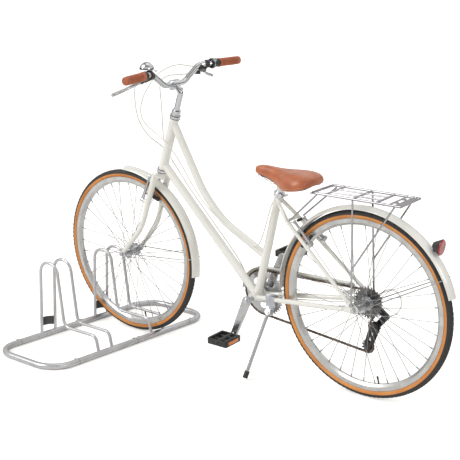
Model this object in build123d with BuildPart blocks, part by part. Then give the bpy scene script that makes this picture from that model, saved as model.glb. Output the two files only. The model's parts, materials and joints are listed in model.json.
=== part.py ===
from build123d import *
import os
from math import asin, atan2, cos, degrees, pi, radians, sin, tan

# A step-through city bicycle that leans on its side stand with its front wheel in a
# two-bay floor rack. Millimetres, +Z up. The bicycle heads towards -X and its left
# side faces -Y. Row origin: on the floor, halfway between the wheel axles in X and
# at the middle of the rack in Y.

# ---------------------------------------------------------------- driving dimensions
wheelbase = 1130.0
wheel_radius = 346.0          # outside of the tyre
tyre_width = 35.0
rim_seat_radius = 317.0       # where the tyre sits on the rim
rim_depth = 24.0
rim_width = 25.0
spoke_count = 36
spoke_radius = 1.0
running_clearance = 0.05      # radial, every shaft in its hole
seat_gap = 0.05               # radial, every fixed ring on its shaft

lean = 4.2                    # degrees the bicycle leans on its side stand
lean_offset = 145.0           # bicycle's track beside the middle of the rack

front_over_locknuts = 100.0
rear_over_locknuts = 124.0
front_axle_radius = 4.5
rear_axle_radius = 5.0
front_flange_spacing = 48.0
dropout_thickness = 5.0

head_length = 221.7
head_angle = 70.5
head_radius = 18.0
head_setback = 197.0          # lower end of the head tube behind the front axle
head_rise = 375.0             # lower end of the head tube above the axles
steerer_radius = 12.7
quill_radius = 11.1
handlebar_radius = 11.1

bottom_bracket_setback = 472.0
bottom_bracket_drop = 63.0
shell_radius = 20.0
shell_width = 68.0
crank_axle_radius = 8.0
crank_length = 165.2
crank_angle = 246.1           # left crank, degrees up from +X towards +Z
seat_tube_length = 436.0
seat_tube_angle = 75.5
seat_tube_radius = 15.5
seatpost_radius = 13.5
top_tube_radius = 14.3
down_tube_radius = 16.0
tube_wall = 1.6

chain_pitch = 12.7
chain_line = 43.5
chainring_teeth = 44
sprocket_teeth = (28, 24, 22, 20, 18, 16, 14)
driven_sprocket = 3           # index of the sprocket the chain runs on
sprocket_spacing = 4.8
pulley_teeth = 11

mudguard_edge_radius = 351.0
mudguard_crown = 12.0
mudguard_half_width = 25.0
mudguard_wall = 1.5

bar_grip_end = 327.0
grip_length = 112.0
grip_radius = 16.0

rack_length = 920.0
rack_front_x = -426.0
rack_rear_x = -762.0
rack_tube_radius = 12.5
hoop_tube_radius = 6.25
hoop_height = 328.0
hoop_spacing = 73.0
bicycle_bay_y = 133.0
spare_bay_y = -170.5

# ---------------------------------------------------------------- places worked out
rear_x = wheelbase / 2
front_x = -wheelbase / 2
hub_z = wheel_radius
tyre_section = tyre_width / 2
tyre_ring = wheel_radius - tyre_section
rim_inner = rim_seat_radius - rim_depth

steer = Vector(cos(radians(head_angle)), 0, sin(radians(head_angle)))
head_low = Vector(front_x + head_setback, 0, hub_z + head_rise)
head_high = head_low + steer * head_length

shell = Vector(rear_x - bottom_bracket_setback, 0, hub_z - bottom_bracket_drop)
seat_way = Vector(cos(radians(seat_tube_angle)), 0, sin(radians(seat_tube_angle)))
seat_top = shell + seat_way * seat_tube_length
rear_hub = Vector(rear_x, 0, hub_z)
front_hub = Vector(front_x, 0, hub_z)


def at(point, side):
    """The same place moved sideways to Y = side."""
    return Vector(point.X, side, point.Z)


def across(y):
    """Upright plane across the bicycle at Y = y; its local axes are X and Z."""
    return Plane.XZ.offset(-y)


def rod(start, end, radius, end_radius=None, mode=Mode.ADD):
    """Round bar, or a taper, between two points, in the part being built."""
    way = Vector(end) - Vector(start)
    base = Plane(origin=Vector(start), z_dir=way)
    with BuildSketch(base) as section:
        Circle(radius)
    if end_radius is None:
        extrude(section.sketch, amount=way.length, mode=mode)
    else:
        with BuildSketch(base.offset(way.length)) as tip:
            Circle(end_radius)
        loft([section.sketch.face(), tip.sketch.face()], mode=mode)


def tube(start, end, radius, bore):
    """Round tube between two points."""
    way = Vector(end) - Vector(start)
    with BuildSketch(Plane(origin=Vector(start), z_dir=way)) as section:
        Circle(radius)
        Circle(bore, mode=Mode.SUBTRACT)
    extrude(section.sketch, amount=way.length)


def bent_rod(points, bends, radius, bore=0.0, mode=Mode.ADD):
    """Round bar or tube along straight runs joined by arcs."""
    with BuildLine() as path:
        FilletPolyline(*points, radius=bends)
    with BuildSketch(Plane(origin=path.line @ 0, z_dir=path.line % 0)) as section:
        Circle(radius)
        if bore:
            Circle(bore, mode=Mode.SUBTRACT)
    sweep(section.sketch, path=path.line, mode=mode)


def slab(profile, low_y, high_y, mode=Mode.ADD):
    """Extrude a sketch that stands on across(low_y) as far as high_y."""
    extrude(profile.sketch, amount=low_y - high_y, mode=mode)


def toothed(teeth, centre, low_y, high_y, tip=3.0):
    """Flat toothed wheel for the chain, turned so that a tooth stands on its +X side."""
    pitch_radius = chain_pitch / (2 * sin(pi / teeth))
    with BuildSketch(across(low_y)) as wheel:
        with Locations((centre.X, centre.Z)):
            Circle(pitch_radius + tip)
        with Locations((centre.X, centre.Z)):
            with PolarLocations(pitch_radius, teeth, start_angle=180 / teeth):
                Circle(4.2, mode=Mode.SUBTRACT)
    slab(wheel, low_y, high_y)


# ---------------------------------------------------------------- wheels
def make_tyre(hub):
    with BuildPart() as made:
        with BuildSketch(Plane(origin=hub, x_dir=(1, 0, 0), z_dir=(0, 0, 1))) as profile:
            with Locations((tyre_ring, 0)):
                Circle(tyre_section)
                Circle(tyre_section - 3.0, mode=Mode.SUBTRACT)
            with Locations((rim_seat_radius / 2, 0)):
                Rectangle(rim_seat_radius, 2 * tyre_width, mode=Mode.SUBTRACT)
        revolve(axis=Axis(hub, (0, 1, 0)))
    return made


def make_rim(hub):
    half = rim_width / 2
    with BuildPart() as made:
        with BuildSketch(Plane(origin=hub, x_dir=(1, 0, 0), z_dir=(0, 0, 1))) as profile:
            with BuildLine():
                Polyline((rim_seat_radius, half), (rim_seat_radius - 15, half), (rim_inner, 5),
                         (rim_inner, -5), (rim_seat_radius - 15, -half), (rim_seat_radius, -half),
                         close=True)
            make_face()
            with Locations((rim_seat_radius - 5.5, 0)):
                Rectangle(7, rim_width - 4, mode=Mode.SUBTRACT)
        revolve(axis=Axis(hub, (0, 1, 0)))
    return made


def spoke_ends(hub, flange_y, index, lead):
    """Elbow and rim ends of one spoke; lead is 1 or -1, the way it leans round the wheel."""
    hole = radians(20.0 * index + (10.0 if flange_y > 0 else 0.0))
    side = 1 if flange_y > 0 else -1
    outside = 3.7 if lead > 0 else -2.5
    inner = Vector(spoke_hole_radius * cos(hole), flange_y + side * outside,
                   spoke_hole_radius * sin(hole))
    rim = hole + lead * radians(60.0)
    outer = Vector((rim_inner - 0.3) * cos(rim), side * 2.0, (rim_inner - 0.3) * sin(rim))
    return hub + inner, hub + outer


spoke_hole_radius = 22.0
flange_radius = 26.0
flange_thickness = 2.4


def make_spokes(hub, flanges):
    """Laced spokes with their elbows through the flange and their nipples at the rim."""
    with BuildPart() as made:
        for flange_y in flanges:
            side = 1 if flange_y > 0 else -1
            for index in range(spoke_count // 2):
                lead = 1 if index % 2 else -1
                inner, outer = spoke_ends(hub, flange_y, index, lead)
                way = (outer - inner).normalized()
                rod(inner, outer, spoke_radius)
                rod(outer - way * 13, outer, 2.0)
                elbow = at(inner, flange_y - side * lead * 2.2)
                rod(inner, elbow, spoke_radius)
    return made


def make_hub(hub, flanges, ends, barrel, axle_radius, spigot=None):
    """Turned hub shell: barrel, two drilled flanges, end bosses and the axle bore."""
    with BuildPart() as made:
        rod(at(hub, ends[0]), at(hub, ends[1]), axle_radius + 5.0)
        rod(at(hub, flanges[0]), at(hub, flanges[1]), barrel)
        for flange_y in flanges:
            half = flange_thickness / 2
            rod(at(hub, flange_y - half), at(hub, flange_y + half), flange_radius)
            for index in range(spoke_count // 2):
                lead = 1 if index % 2 else -1
                inner, outer = spoke_ends(hub, flange_y, index, lead)
                rod(at(inner, flange_y - 2), at(inner, flange_y + 2), spoke_radius + 0.3,
                    mode=Mode.SUBTRACT)
        if spigot:
            rod(at(hub, spigot[0]), at(hub, spigot[1]), spigot[2])
        rod(at(hub, ends[0] - 1), at(hub, ends[1] + 1), axle_radius + running_clearance,
            mode=Mode.SUBTRACT)
    return made


front_flanges = (-front_flange_spacing / 2, front_flange_spacing / 2)
rear_flanges = (-31.0, 19.0)
freehub = (22.0, 60.5, 16.0)   # from, to, radius

front_tyre = make_tyre(front_hub)
front_rim = make_rim(front_hub)
front_spokes = make_spokes(front_hub, front_flanges)
front_hub_shell = make_hub(front_hub, front_flanges, (-40.0, 40.0), 14.0, front_axle_radius)
rear_tyre = make_tyre(rear_hub)
rear_rim = make_rim(rear_hub)
rear_spokes = make_spokes(rear_hub, rear_flanges)
rear_hub_shell = make_hub(rear_hub, rear_flanges, (-52.0, 60.5), 17.0, rear_axle_radius, freehub)


def make_axle(hub, radius, over_locknuts, hub_ends, nut_out, cap_out):
    """Threaded axle with its locknuts inside the dropouts and its nuts and caps outside."""
    half = over_locknuts / 2
    outer_face = half + dropout_thickness
    with BuildPart() as made:
        rod(at(hub, -nut_out - 2), at(hub, nut_out + 2), radius)
        for side, hub_end in ((-1, hub_ends[0]), (1, hub_ends[1])):
            rod(at(hub, hub_end + side * 0.4), at(hub, side * (half - 0.05)), radius + 4.0)
            with BuildSketch(Plane(origin=at(hub, side * (outer_face + 0.05)),
                                   x_dir=(1, 0, 0), z_dir=(0, side, 0))) as nut:
                RegularPolygon(radius + 4.0, 6)
            extrude(nut.sketch, amount=nut_out - outer_face)
            rod(at(hub, side * nut_out), at(hub, side * cap_out), radius + 2.0)
    return made


front_axle = make_axle(front_hub, front_axle_radius, front_over_locknuts, (-40.0, 40.0), 64.0, 68.5)
rear_axle = make_axle(rear_hub, rear_axle_radius, rear_over_locknuts, (-52.0, 60.5), 76.0, 81.0)

# ---------------------------------------------------------------- fork and steering
crown_half = 41.0
blade_tip_half = front_over_locknuts / 2 + 7.0
crown = head_low - steer * 27.0
blade_bend = head_low - steer * 262.0


def blade_at(side):
    """Corner points of one fork blade: crown, end of the straight run, bend and tip."""
    top = at(crown, side * crown_half)
    bend = at(blade_bend, side * (crown_half + 6.0))
    tip = at(front_hub + Vector(10, 0, 14), side * blade_tip_half)
    return top, bend, tip


with BuildPart() as fork:
    rod(head_low - steer * 40.0, head_low - steer * 13.0, 17.5)
    tube(head_low - steer * 14.0, head_high + steer * 22.0, steerer_radius,
         quill_radius + seat_gap)
    for side in (-1, 1):
        top, bend, tip = blade_at(side)
        rod(crown, top, 13.5)
        straight = bend - top
        knee = top + straight * 0.62
        rod(top + straight.normalized() * -9.0, knee, 13.5, 11.0)
        drop = (tip - bend)
        shin = tip - drop * 0.35
        bent_rod([knee, bend, shin], 230.0, 10.6)
        rod(shin, tip, 10.6, 8.0)
        with BuildSketch(across(side * (front_over_locknuts / 2 + dropout_thickness / 2))) as plate:
            with Locations((front_hub.X, front_hub.Z)):
                Circle(13.0)
            with Locations((tip.X, tip.Z)):
                Circle(9.0)
            make_hull()
            with Locations((front_hub.X, front_hub.Z)):
                Circle(front_axle_radius + seat_gap, mode=Mode.SUBTRACT)
        extrude(plate.sketch, amount=dropout_thickness / 2, both=True)
        rod(at(front_hub, side * (front_over_locknuts / 2 - 20)), at(front_hub, side * 50.0), 13.0,
            mode=Mode.SUBTRACT)
        rod(at(front_hub, side * 55.05), at(front_hub, side * 80.0), 13.0, mode=Mode.SUBTRACT)

headset_radius = 21.0
with BuildPart() as headset:
    for low, high, radius in ((-12.8, -0.05, headset_radius), (head_length + 0.05, head_length + 14.0, 20.0)):
        tube(head_low + steer * low, head_low + steer * high, radius,
             steerer_radius + running_clearance)
    tube(head_low + steer * 0.0, head_low + steer * 14.0, head_radius - 3.6,
         steerer_radius + running_clearance)

with BuildPart() as head_tube:
    tube(head_low, head_high, head_radius, head_radius - 3.5)

stem_bend = head_high + steer * 112.0
clamp = stem_bend + Vector(-31, 0, 29)
with BuildPart() as stem:
    bent_rod([head_high - steer * 60.0, stem_bend, clamp], 20.0, quill_radius)
    rod(at(clamp, -19), at(clamp, 19), 17.0)
    rod(at(clamp, -20), at(clamp, 20), handlebar_radius + seat_gap, mode=Mode.SUBTRACT)
    tube(head_high + steer * 22.2, head_high + steer * 36.0, 17.5, quill_radius - 1.0)
    with BuildSketch(across(0)) as lug:
        with Locations((clamp.X - 14, clamp.Z - 17)):
            Rectangle(12, 16)
    extrude(lug.sketch, amount=8, both=True)
    rod(at(clamp, -20), at(clamp, 20), handlebar_radius + seat_gap, mode=Mode.SUBTRACT)

rise_foot = clamp
bar_bends = [30.0, 52.0, 45.0, 45.0, 52.0, 30.0]
bar_side = [(rise_foot.X, 56.0, rise_foot.Z), (rise_foot.X + 6, 138.0, rise_foot.Z + 58.5),
            (rise_foot.X + 38, 184.0, rise_foot.Z + 59.5),
            (rise_foot.X + 57, bar_grip_end - 3, rise_foot.Z + 57.0)]
bar_left = [(x, -y, z) for x, y, z in reversed(bar_side)]
with BuildPart() as handlebar:
    bent_rod(bar_left + bar_side, bar_bends, handlebar_radius)


def bar_point(y):
    """Centre of the handlebar's outer, straight grip run at the given Y."""
    inner, outer = Vector(*bar_side[2]), Vector(*bar_side[3])
    share = (abs(y) - inner.Y) / (outer.Y - inner.Y)
    found = inner + (outer - inner) * share
    return Vector(found.X, y, found.Z)


def grip_ends(side):
    return bar_point(side * (bar_grip_end - grip_length)), bar_point(side * bar_grip_end)


with BuildPart() as grips:
    for side in (-1, 1):
        near, far = grip_ends(side)
        rod(near, far, grip_radius - 1.5, grip_radius)
        rod(near, far - (far - near).normalized() * 2.9, handlebar_radius + seat_gap,
            mode=Mode.SUBTRACT)

# ---------------------------------------------------------------- levers, shifter, bell
lever_pivot = Vector(rise_foot.X - 2, 178.0, rise_foot.Z + 33.0)
lever_tip = Vector(rise_foot.X - 52, 288.0, rise_foot.Z - 8.0)
lever_pin_radius = 2.5


def mirrored(point, side):
    return Vector(point.X, side * point.Y, point.Z)


def lever_frame(side):
    """Pivot, tip and turning axis of the brake lever on one side; pulling is positive."""
    pivot, tip = mirrored(lever_pivot, side), mirrored(lever_tip, side)
    blade = (tip - pivot).normalized()
    squeeze = bar_point(side * 250.0) - (pivot + tip) * 0.5
    axis = blade.cross(squeeze).normalized()
    return pivot, tip, axis


clamp_y = 167.0
adjuster_length = 29.0


def adjuster(side):
    """Foot and direction of the barrel that the brake housing seats in."""
    way = Vector(-24, -side * 16, 0).normalized()
    inner, outer = Vector(*bar_side[1]), Vector(*bar_side[2])
    share = (clamp_y - inner.Y) / (outer.Y - inner.Y)
    seat = mirrored(inner + (outer - inner) * share, side)
    return (seat + mirrored(lever_pivot, side)) * 0.5, way


with BuildPart() as lever_brackets:
    for side in (-1, 1):
        pivot, tip, axis = lever_frame(side)
        inner, outer = Vector(*bar_side[1]), Vector(*bar_side[2])
        share = (clamp_y - inner.Y) / (outer.Y - inner.Y)
        seat = mirrored(inner + (outer - inner) * share, side)
        run = mirrored(outer - inner, side).normalized()
        rod(seat - run * 8, seat + run * 8, 15.5)
        rod(seat, pivot, 9.0)
        foot, way = adjuster(side)
        rod(foot, foot + way * adjuster_length, 4.2)
        for turn in (-1, 1):
            rod(pivot + axis * (turn * 4.6), pivot + axis * (turn * 8.6), 8.0)
        rod(pivot - axis * 4.6, pivot + axis * 4.6, 12.5, mode=Mode.SUBTRACT)
        rod(pivot - axis * 8.6, pivot + axis * 8.6, lever_pin_radius)
        rod(seat - run * 20, seat + run * 20, handlebar_radius + seat_gap, mode=Mode.SUBTRACT)


def make_lever(side):
    """Brake lever: a boss on the pin and a blade that curves to a ball end."""
    pivot, tip, axis = lever_frame(side)
    blade = (tip - pivot).normalized()
    out = axis.cross(blade).normalized() * -1
    knee = pivot + blade * 42 + out * 8
    with BuildPart() as made:
        rod(pivot - axis * 4.2, pivot + axis * 4.2, 7.5)
        bent_rod([pivot + blade * 5, knee, tip - blade * 4], 60.0, 4.4)
        with Locations(tip - blade * 4):
            Sphere(6.0)
        rod(pivot - axis * 9, pivot + axis * 9, lever_pin_radius + running_clearance,
            mode=Mode.SUBTRACT)
    return made


brake_lever_left = make_lever(-1)
brake_lever_right = make_lever(1)

grip_near_right, grip_far_right = grip_ends(1)
grip_way = (grip_far_right - grip_near_right).normalized()
twist_end = grip_near_right - grip_way * 0.6
with BuildPart() as shifter_twist:
    rod(twist_end - grip_way * 21.0, twist_end, 16.5, 15.0)
    rod(twist_end - grip_way * 22.0, twist_end + grip_way, handlebar_radius + running_clearance,
        mode=Mode.SUBTRACT)

bell_seat = Vector(rise_foot.X + 9, -143.0, rise_foot.Z + 57.0)
bell_post = bell_seat + Vector(-3, -14, 19)
bell_radius = 27.0
bell_lever_pin = 1.5
bell_hinge = bell_post + Vector(14, 12, -4)
with BuildPart() as bell:
    with BuildSketch(Plane(origin=bell_post, x_dir=(1, 0, 0), z_dir=(0, -1, 0))) as dome:
        with BuildLine():
            CenterArc((0, 0), bell_radius, 0, 90)
            Line((0, bell_radius), (0, bell_radius - 1.5))
            CenterArc((0, 0), bell_radius - 1.5, 90, -90)
            Line((bell_radius - 1.5, 0), (bell_radius, 0))
        make_face()
    revolve(dome.sketch, axis=Axis(bell_post, (0, 0, 1)))
    rod(bell_seat + Vector(0, 0, 10), bell_seat + Vector(0, 0, 21), 4.5)
    rod(bell_post + Vector(0, 0, 0.4), bell_post + Vector(0, 0, 3), 20.5)
    rod(bell_post + Vector(0, 0, 1), bell_post + Vector(0, 0, bell_radius - 0.5), 3.5)
    rod(bell_seat - Vector(4, 6, 0), bell_seat + Vector(4, 6, 0), 14.5)
    rod(bell_hinge + Vector(0, 0, -2), bell_hinge + Vector(0, 0, 5), bell_lever_pin)
    bent_rod(bar_left + bar_side, bar_bends, handlebar_radius + seat_gap, mode=Mode.SUBTRACT)

with BuildPart() as bell_lever:
    rod(bell_hinge + Vector(0, 0, -0.9), bell_hinge + Vector(0, 0, 1.3), 4.0)
    bent_rod([bell_hinge + Vector(2, 1, 0.2), bell_hinge + Vector(17, 4, 0.2),
              bell_hinge + Vector(27, -6, 0.2)], 7.0, 1.1)
    with Locations(bell_hinge + Vector(27, -6, 0.2)):
        Sphere(4.2)
    rod(bell_hinge + Vector(0, 0, -6), bell_hinge + Vector(0, 0, 6),
        bell_lever_pin + running_clearance, mode=Mode.SUBTRACT)

# ---------------------------------------------------------------- frame tubes
top_joint = head_high - steer * 18.0
seat_joint = shell + seat_way * 172.5
span = seat_joint - top_joint
top_path = [top_joint, top_joint + Vector(span.X * 0.314, 0, span.Z * 0.554),
            top_joint + Vector(span.X * 0.530, 0, span.Z * 0.773), seat_joint]
with BuildPart() as top_tube:
    bent_rod(top_path, [420.0, 340.0], top_tube_radius, top_tube_radius - tube_wall)
    rod(head_low, head_high, head_radius, mode=Mode.SUBTRACT)
    rod(shell, seat_top, seat_tube_radius, mode=Mode.SUBTRACT)

down_joint = head_low + steer * 22.0
with BuildPart() as down_tube:
    tube(down_joint, shell, down_tube_radius, down_tube_radius - tube_wall)
    rod(head_low - steer * 30, head_high, head_radius, mode=Mode.SUBTRACT)
    rod(head_low - steer * 13, head_low, headset_radius + seat_gap, mode=Mode.SUBTRACT)
    rod(shell, seat_top, seat_tube_radius, mode=Mode.SUBTRACT)
    rod(at(shell, -shell_width), at(shell, shell_width), shell_radius, mode=Mode.SUBTRACT)

with BuildPart() as seat_tube:
    rod(shell, seat_top, seat_tube_radius)
    rod(at(shell, -shell_width / 2), at(shell, shell_width / 2), shell_radius)
    rod(shell + seat_way * 60.0, seat_top + seat_way, seatpost_radius + running_clearance,
        mode=Mode.SUBTRACT)
    rod(at(shell, -shell_width), at(shell, shell_width), crank_axle_radius + running_clearance,
        mode=Mode.SUBTRACT)

chain_stay_end = 48.0
seat_stay_end = 40.0
stay_half = rear_over_locknuts / 2 + 2.0
chain_stay_way = (shell - rear_hub).normalized()
bridge_place = rear_hub + Vector(-303, 0, 265)
seat_stay_way = (bridge_place - rear_hub).normalized()


def dropout(side, mode=Mode.ADD):
    """Rear dropout plate of one side, with arms that reach for both stays."""
    with BuildSketch(across(side * (rear_over_locknuts + dropout_thickness) / 2)) as plate:
        for way, reach in ((chain_stay_way, chain_stay_end), (seat_stay_way, seat_stay_end)):
            arm = rear_hub + way * (reach + 8)
            with BuildSketch(across(0), mode=Mode.PRIVATE) as lobe:
                with Locations((rear_hub.X, rear_hub.Z)):
                    Circle(15.0)
                with Locations((arm.X, arm.Z)):
                    Circle(6.0)
                make_hull()
            add(lobe.sketch_local)
        with Locations((rear_hub.X, rear_hub.Z)):
            Circle(rear_axle_radius + seat_gap, mode=Mode.SUBTRACT)
    extrude(plate.sketch, amount=dropout_thickness / 2, both=True, mode=mode)


with BuildPart() as chain_stays:
    for side in (-1, 1):
        start = at(shell + Vector(8, 0, 2), side * 24.0)
        end = at(rear_hub + chain_stay_way * chain_stay_end, side * stay_half)
        rod(start, end, 10.0, 8.0)
        dropout(side)
    chain_bridge = shell + (rear_hub - shell) * 0.19
    rod(at(chain_bridge, -30), at(chain_bridge, 30), 6.5)
    rod(at(shell, -shell_width), at(shell, shell_width), shell_radius, mode=Mode.SUBTRACT)
    rod(shell, seat_top, seat_tube_radius, mode=Mode.SUBTRACT)

boss_radius = 4.0
boss_reach = 280.0
rear_boss = rear_hub + seat_stay_way * boss_reach
rear_boss_way = Vector(-seat_stay_way.Z, 0, seat_stay_way.X) * -1
with BuildPart() as seat_stays:
    for side in (-1, 1):
        stay = [at(seat_top - seat_way * 26.0 + Vector(3, 0, 0), side * 11.0),
                at(bridge_place + Vector(0, 0, 2), side * 37.0),
                at(rear_hub + seat_stay_way * seat_stay_end, side * stay_half)]
        bent_rod(stay, 70.0, 7.2)
    rod(at(bridge_place + Vector(-2, 0, 4), -38), at(bridge_place + Vector(-2, 0, 4), 38), 5.5)
    rod(shell, seat_top + seat_way * 30, seat_tube_radius, mode=Mode.SUBTRACT)
    for side in (-1, 1):
        dropout(side, Mode.SUBTRACT)
        foot = at(rear_boss, side * 44.5)
        rod(foot + rear_boss_way * 3, foot + rear_boss_way * 33, boss_radius)
        rod(foot + rear_boss_way * 3, foot + rear_boss_way * 15, 7.0)

with BuildPart() as seat_clamp:
    tube(seat_top - seat_way * 13.0, seat_top + seat_way * 2.0, 20.5, seat_tube_radius + seat_gap)
    tube(seat_top + seat_way * 0.1, seat_top + seat_way * 2.0, 20.5,
         seatpost_radius + 0.5)
    bolt_place = seat_top - seat_way * 5.5 + Vector(22, 0, -5)
    rod(at(bolt_place, -17), at(bolt_place, 17), 5.5)
    rod(shell, seat_top, seat_tube_radius + seat_gap, mode=Mode.SUBTRACT)

post_top = seat_top + seat_way * 42.0


def saddle_rail(side):
    """Corner points of one saddle rail."""
    places = ((-98, 9, 16), (-40, 21, -3), (42, 22, -3), (110, 36, 12))
    return [at(post_top + Vector(x, 0, z), side * y) for x, y, z in places]


with BuildPart() as seatpost:
    rod(seat_top - seat_way * 150.0, post_top, seatpost_radius)
    rod(at(post_top, -24), at(post_top, 24), 11.0)
    for side in (-1, 1):
        bent_rod(saddle_rail(side), 60.0, 3.5)

# place along the saddle, half width, height of the middle and half height
saddle_sections = ((-112, 9, 32, 16), (-88, 19, 33, 22), (-40, 26, 28, 26), (10, 42, 21, 31),
                   (52, 68, 17, 33), (98, 82, 18, 31), (134, 74, 18, 26), (154, 42, 16, 15))
with BuildPart() as saddle:
    for along, half_width, middle, half_height in saddle_sections:
        with BuildSketch(Plane.YZ.offset(post_top.X + along)):
            with Locations((0, post_top.Z + middle)):
                Ellipse(half_width, half_height)
    loft()
    rod(at(post_top, -27), at(post_top, 27), 13.0, mode=Mode.SUBTRACT)
    rod(post_top - seat_way * 60.0, post_top, seatpost_radius + 1.5, mode=Mode.SUBTRACT)
    for side in (-1, 1):
        bent_rod(saddle_rail(side), 60.0, 3.5 + seat_gap, mode=Mode.SUBTRACT)

# ---------------------------------------------------------------- mudguards
def mudguard_shell(hub, low_angle, high_angle):
    """Curved guard round a wheel between two angles measured up from +X."""
    start = radians(low_angle)
    radial = Vector(cos(start), 0, sin(start))
    plane = Plane(origin=hub, x_dir=radial, z_dir=(-sin(start), 0, cos(start)))
    edge, crest, half, wall = mudguard_edge_radius, mudguard_crown, mudguard_half_width, mudguard_wall
    with BuildSketch(plane) as profile:
        with BuildLine():
            ThreePointArc((edge, -half), (edge + crest, 0), (edge, half))
            Line((edge, half), (edge, half - wall))
            ThreePointArc((edge, half - wall), (edge + crest - wall, 0), (edge, wall - half))
            Line((edge, wall - half), (edge, -half))
        make_face()
    revolve(profile.sketch, axis=Axis(hub, (0, -1, 0)), revolution_arc=high_angle - low_angle)


def guard_stays(hub, foot, side_y, angle):
    """Pair of thin wire stays from eyes beside the dropouts to the guard's edges."""
    end = radians(angle)
    hold = hub + Vector(cos(end), 0, sin(end)) * (mudguard_edge_radius + 3)
    for side in (-1, 1):
        foot_y, bend_y = side_y
        bent_rod([at(hub + foot, side * foot_y), at(hub + (hold - hub) * 0.88, side * bend_y),
                  at(hold, side * (mudguard_half_width + 2.0))], 40.0, 1.8)
        rod(at(hub + foot, side * (foot_y - 1.8)), at(hub + foot, side * (foot_y + 1.8)), 4.5)


with BuildPart() as front_mudguard:
    mudguard_shell(front_hub, -7.5, 91.0)
with BuildPart() as front_mudguard_stays:
    guard_stays(front_hub, Vector(22, 0, 6), (60.0, 40.0), 5.0)
with BuildPart() as rear_mudguard:
    mudguard_shell(rear_hub, 15.5, 181.5)
with BuildPart() as rear_mudguard_stays:
    guard_stays(rear_hub, Vector(26, 0, 8), (72.0, 48.0), 27.0)

reflector_angle = radians(43.0)
reflector_way = Vector(cos(reflector_angle), 0, sin(reflector_angle))
reflector_seat = rear_hub + reflector_way * (mudguard_edge_radius + mudguard_crown + 2.5)
reflector_face = Vector(cos(radians(8)), 0, -sin(radians(8)))
with BuildPart() as rear_reflector:
    housing = reflector_seat + Vector(11, 0, 17)
    rod(reflector_seat, housing, 6.0)
    with BuildSketch(Plane(origin=housing - reflector_face * 14, z_dir=reflector_face, x_dir=(0, 1, 0))) as back:
        Ellipse(11, 11)
    with BuildSketch(Plane(origin=housing + reflector_face * 14, z_dir=reflector_face, x_dir=(0, 1, 0))) as front:
        Ellipse(24, 29)
    loft([back.sketch.face(), front.sketch.face()])
with BuildPart() as reflector_lens:
    with BuildSketch(Plane(origin=housing + reflector_face * 14.05, z_dir=reflector_face,
                           x_dir=(0, 1, 0))) as disc:
        Ellipse(22.5, 27.5)
    extrude(disc.sketch, amount=6)
    fillet(reflector_lens.faces().sort_by(Axis.X)[-1].edges(), 3)

# ---------------------------------------------------------------- luggage carrier
deck_z = hub_z + 399.0
carrier_half = 65.0
carrier_ring_radius = 4.5
carrier_leg_radius = 3.6
carrier_strut_radius = 3.2
eyelet_hole_radius = 3.0
eyelet_half_spacing = 25.0
eyelet_thickness = 3.0
eyelet_x = rear_x + 128.0
with BuildPart() as carrier:
    loop = [(rear_x + 176, carrier_half), (rear_x - 170, carrier_half), (rear_x - 204, 30)]
    ring = [(x, y, deck_z - (14 if x < rear_x - 180 else 0)) for x, y in loop]
    ring += [(x, -y, z) for x, y, z in reversed(ring)]
    ring_bends = [24.0, 18.0, 18.0, 24.0]
    bent_rod(ring, ring_bends, carrier_ring_radius)
    for x in (rear_x - 122, rear_x - 12, rear_x + 80, rear_x + 154, rear_x + 165, rear_x + 176):
        rod((x, -carrier_half, deck_z), (x, carrier_half, deck_z), 4.0)
    for y in (-22, 22):
        rod((rear_x - 122, y, deck_z), (rear_x + 80, y, deck_z), 3.0)
    rod((eyelet_x, -carrier_half, deck_z), (eyelet_x, carrier_half, deck_z), 3.0)
    for y in (-eyelet_half_spacing, eyelet_half_spacing):
        with BuildSketch(Plane.XY.offset(deck_z - eyelet_thickness / 2)) as eyelet:
            with Locations((eyelet_x + 10, y)):
                Circle(8)
        extrude(eyelet.sketch, amount=eyelet_thickness)
        rod((eyelet_x + 10, y, deck_z - 9), (eyelet_x + 10, y, deck_z + 9), eyelet_hole_radius,
            mode=Mode.SUBTRACT)


def hung(top, foot, radius):
    """Place on the way from the deck's tube to the foot where a leg's flat end clears the tube."""
    way = (foot - top).normalized()
    drop = (carrier_ring_radius + seat_gap + radius * abs(way.X)) / (1 - way.X ** 2) ** 0.5
    return top + way * drop


with BuildPart() as carrier_legs:
    for side in (-1, 1):
        top = Vector(rear_x - 10, side * carrier_half, deck_z)
        foot = Vector(rear_x - 6, side * 76.0, hub_z + 20)
        rod(hung(top, foot, carrier_leg_radius), foot, carrier_leg_radius)
        rod(at(foot, side * 71.7), at(foot, side * 80.5), 7.0)
        back = Vector(rear_x + 155, side * carrier_half, deck_z)
        joint = top + (foot - top) * 0.66 + Vector(0, side * 0.7, 0)
        rod(hung(back, joint, carrier_strut_radius), joint, carrier_strut_radius)
        front = Vector(rear_x - 150, side * carrier_half, deck_z)
        bridge_end = at(bridge_place + Vector(14, 0, 8), side * 45)
        rod(hung(front, bridge_end, carrier_strut_radius), bridge_end, carrier_strut_radius)
with carrier:
    add(carrier_legs.part)

# ---------------------------------------------------------------- cranks, chain, sprockets
crank_way = Vector(cos(radians(crank_angle)), 0, sin(radians(crank_angle)))
crank_inner_y = 62.0
pedal_pin_radius = 4.5
pedal_inner_y = 82.0
pedal_outer_y = 176.0
with BuildPart() as crank_axle:
    rod(at(shell, -75.0), at(shell, 75.0), crank_axle_radius)

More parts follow.
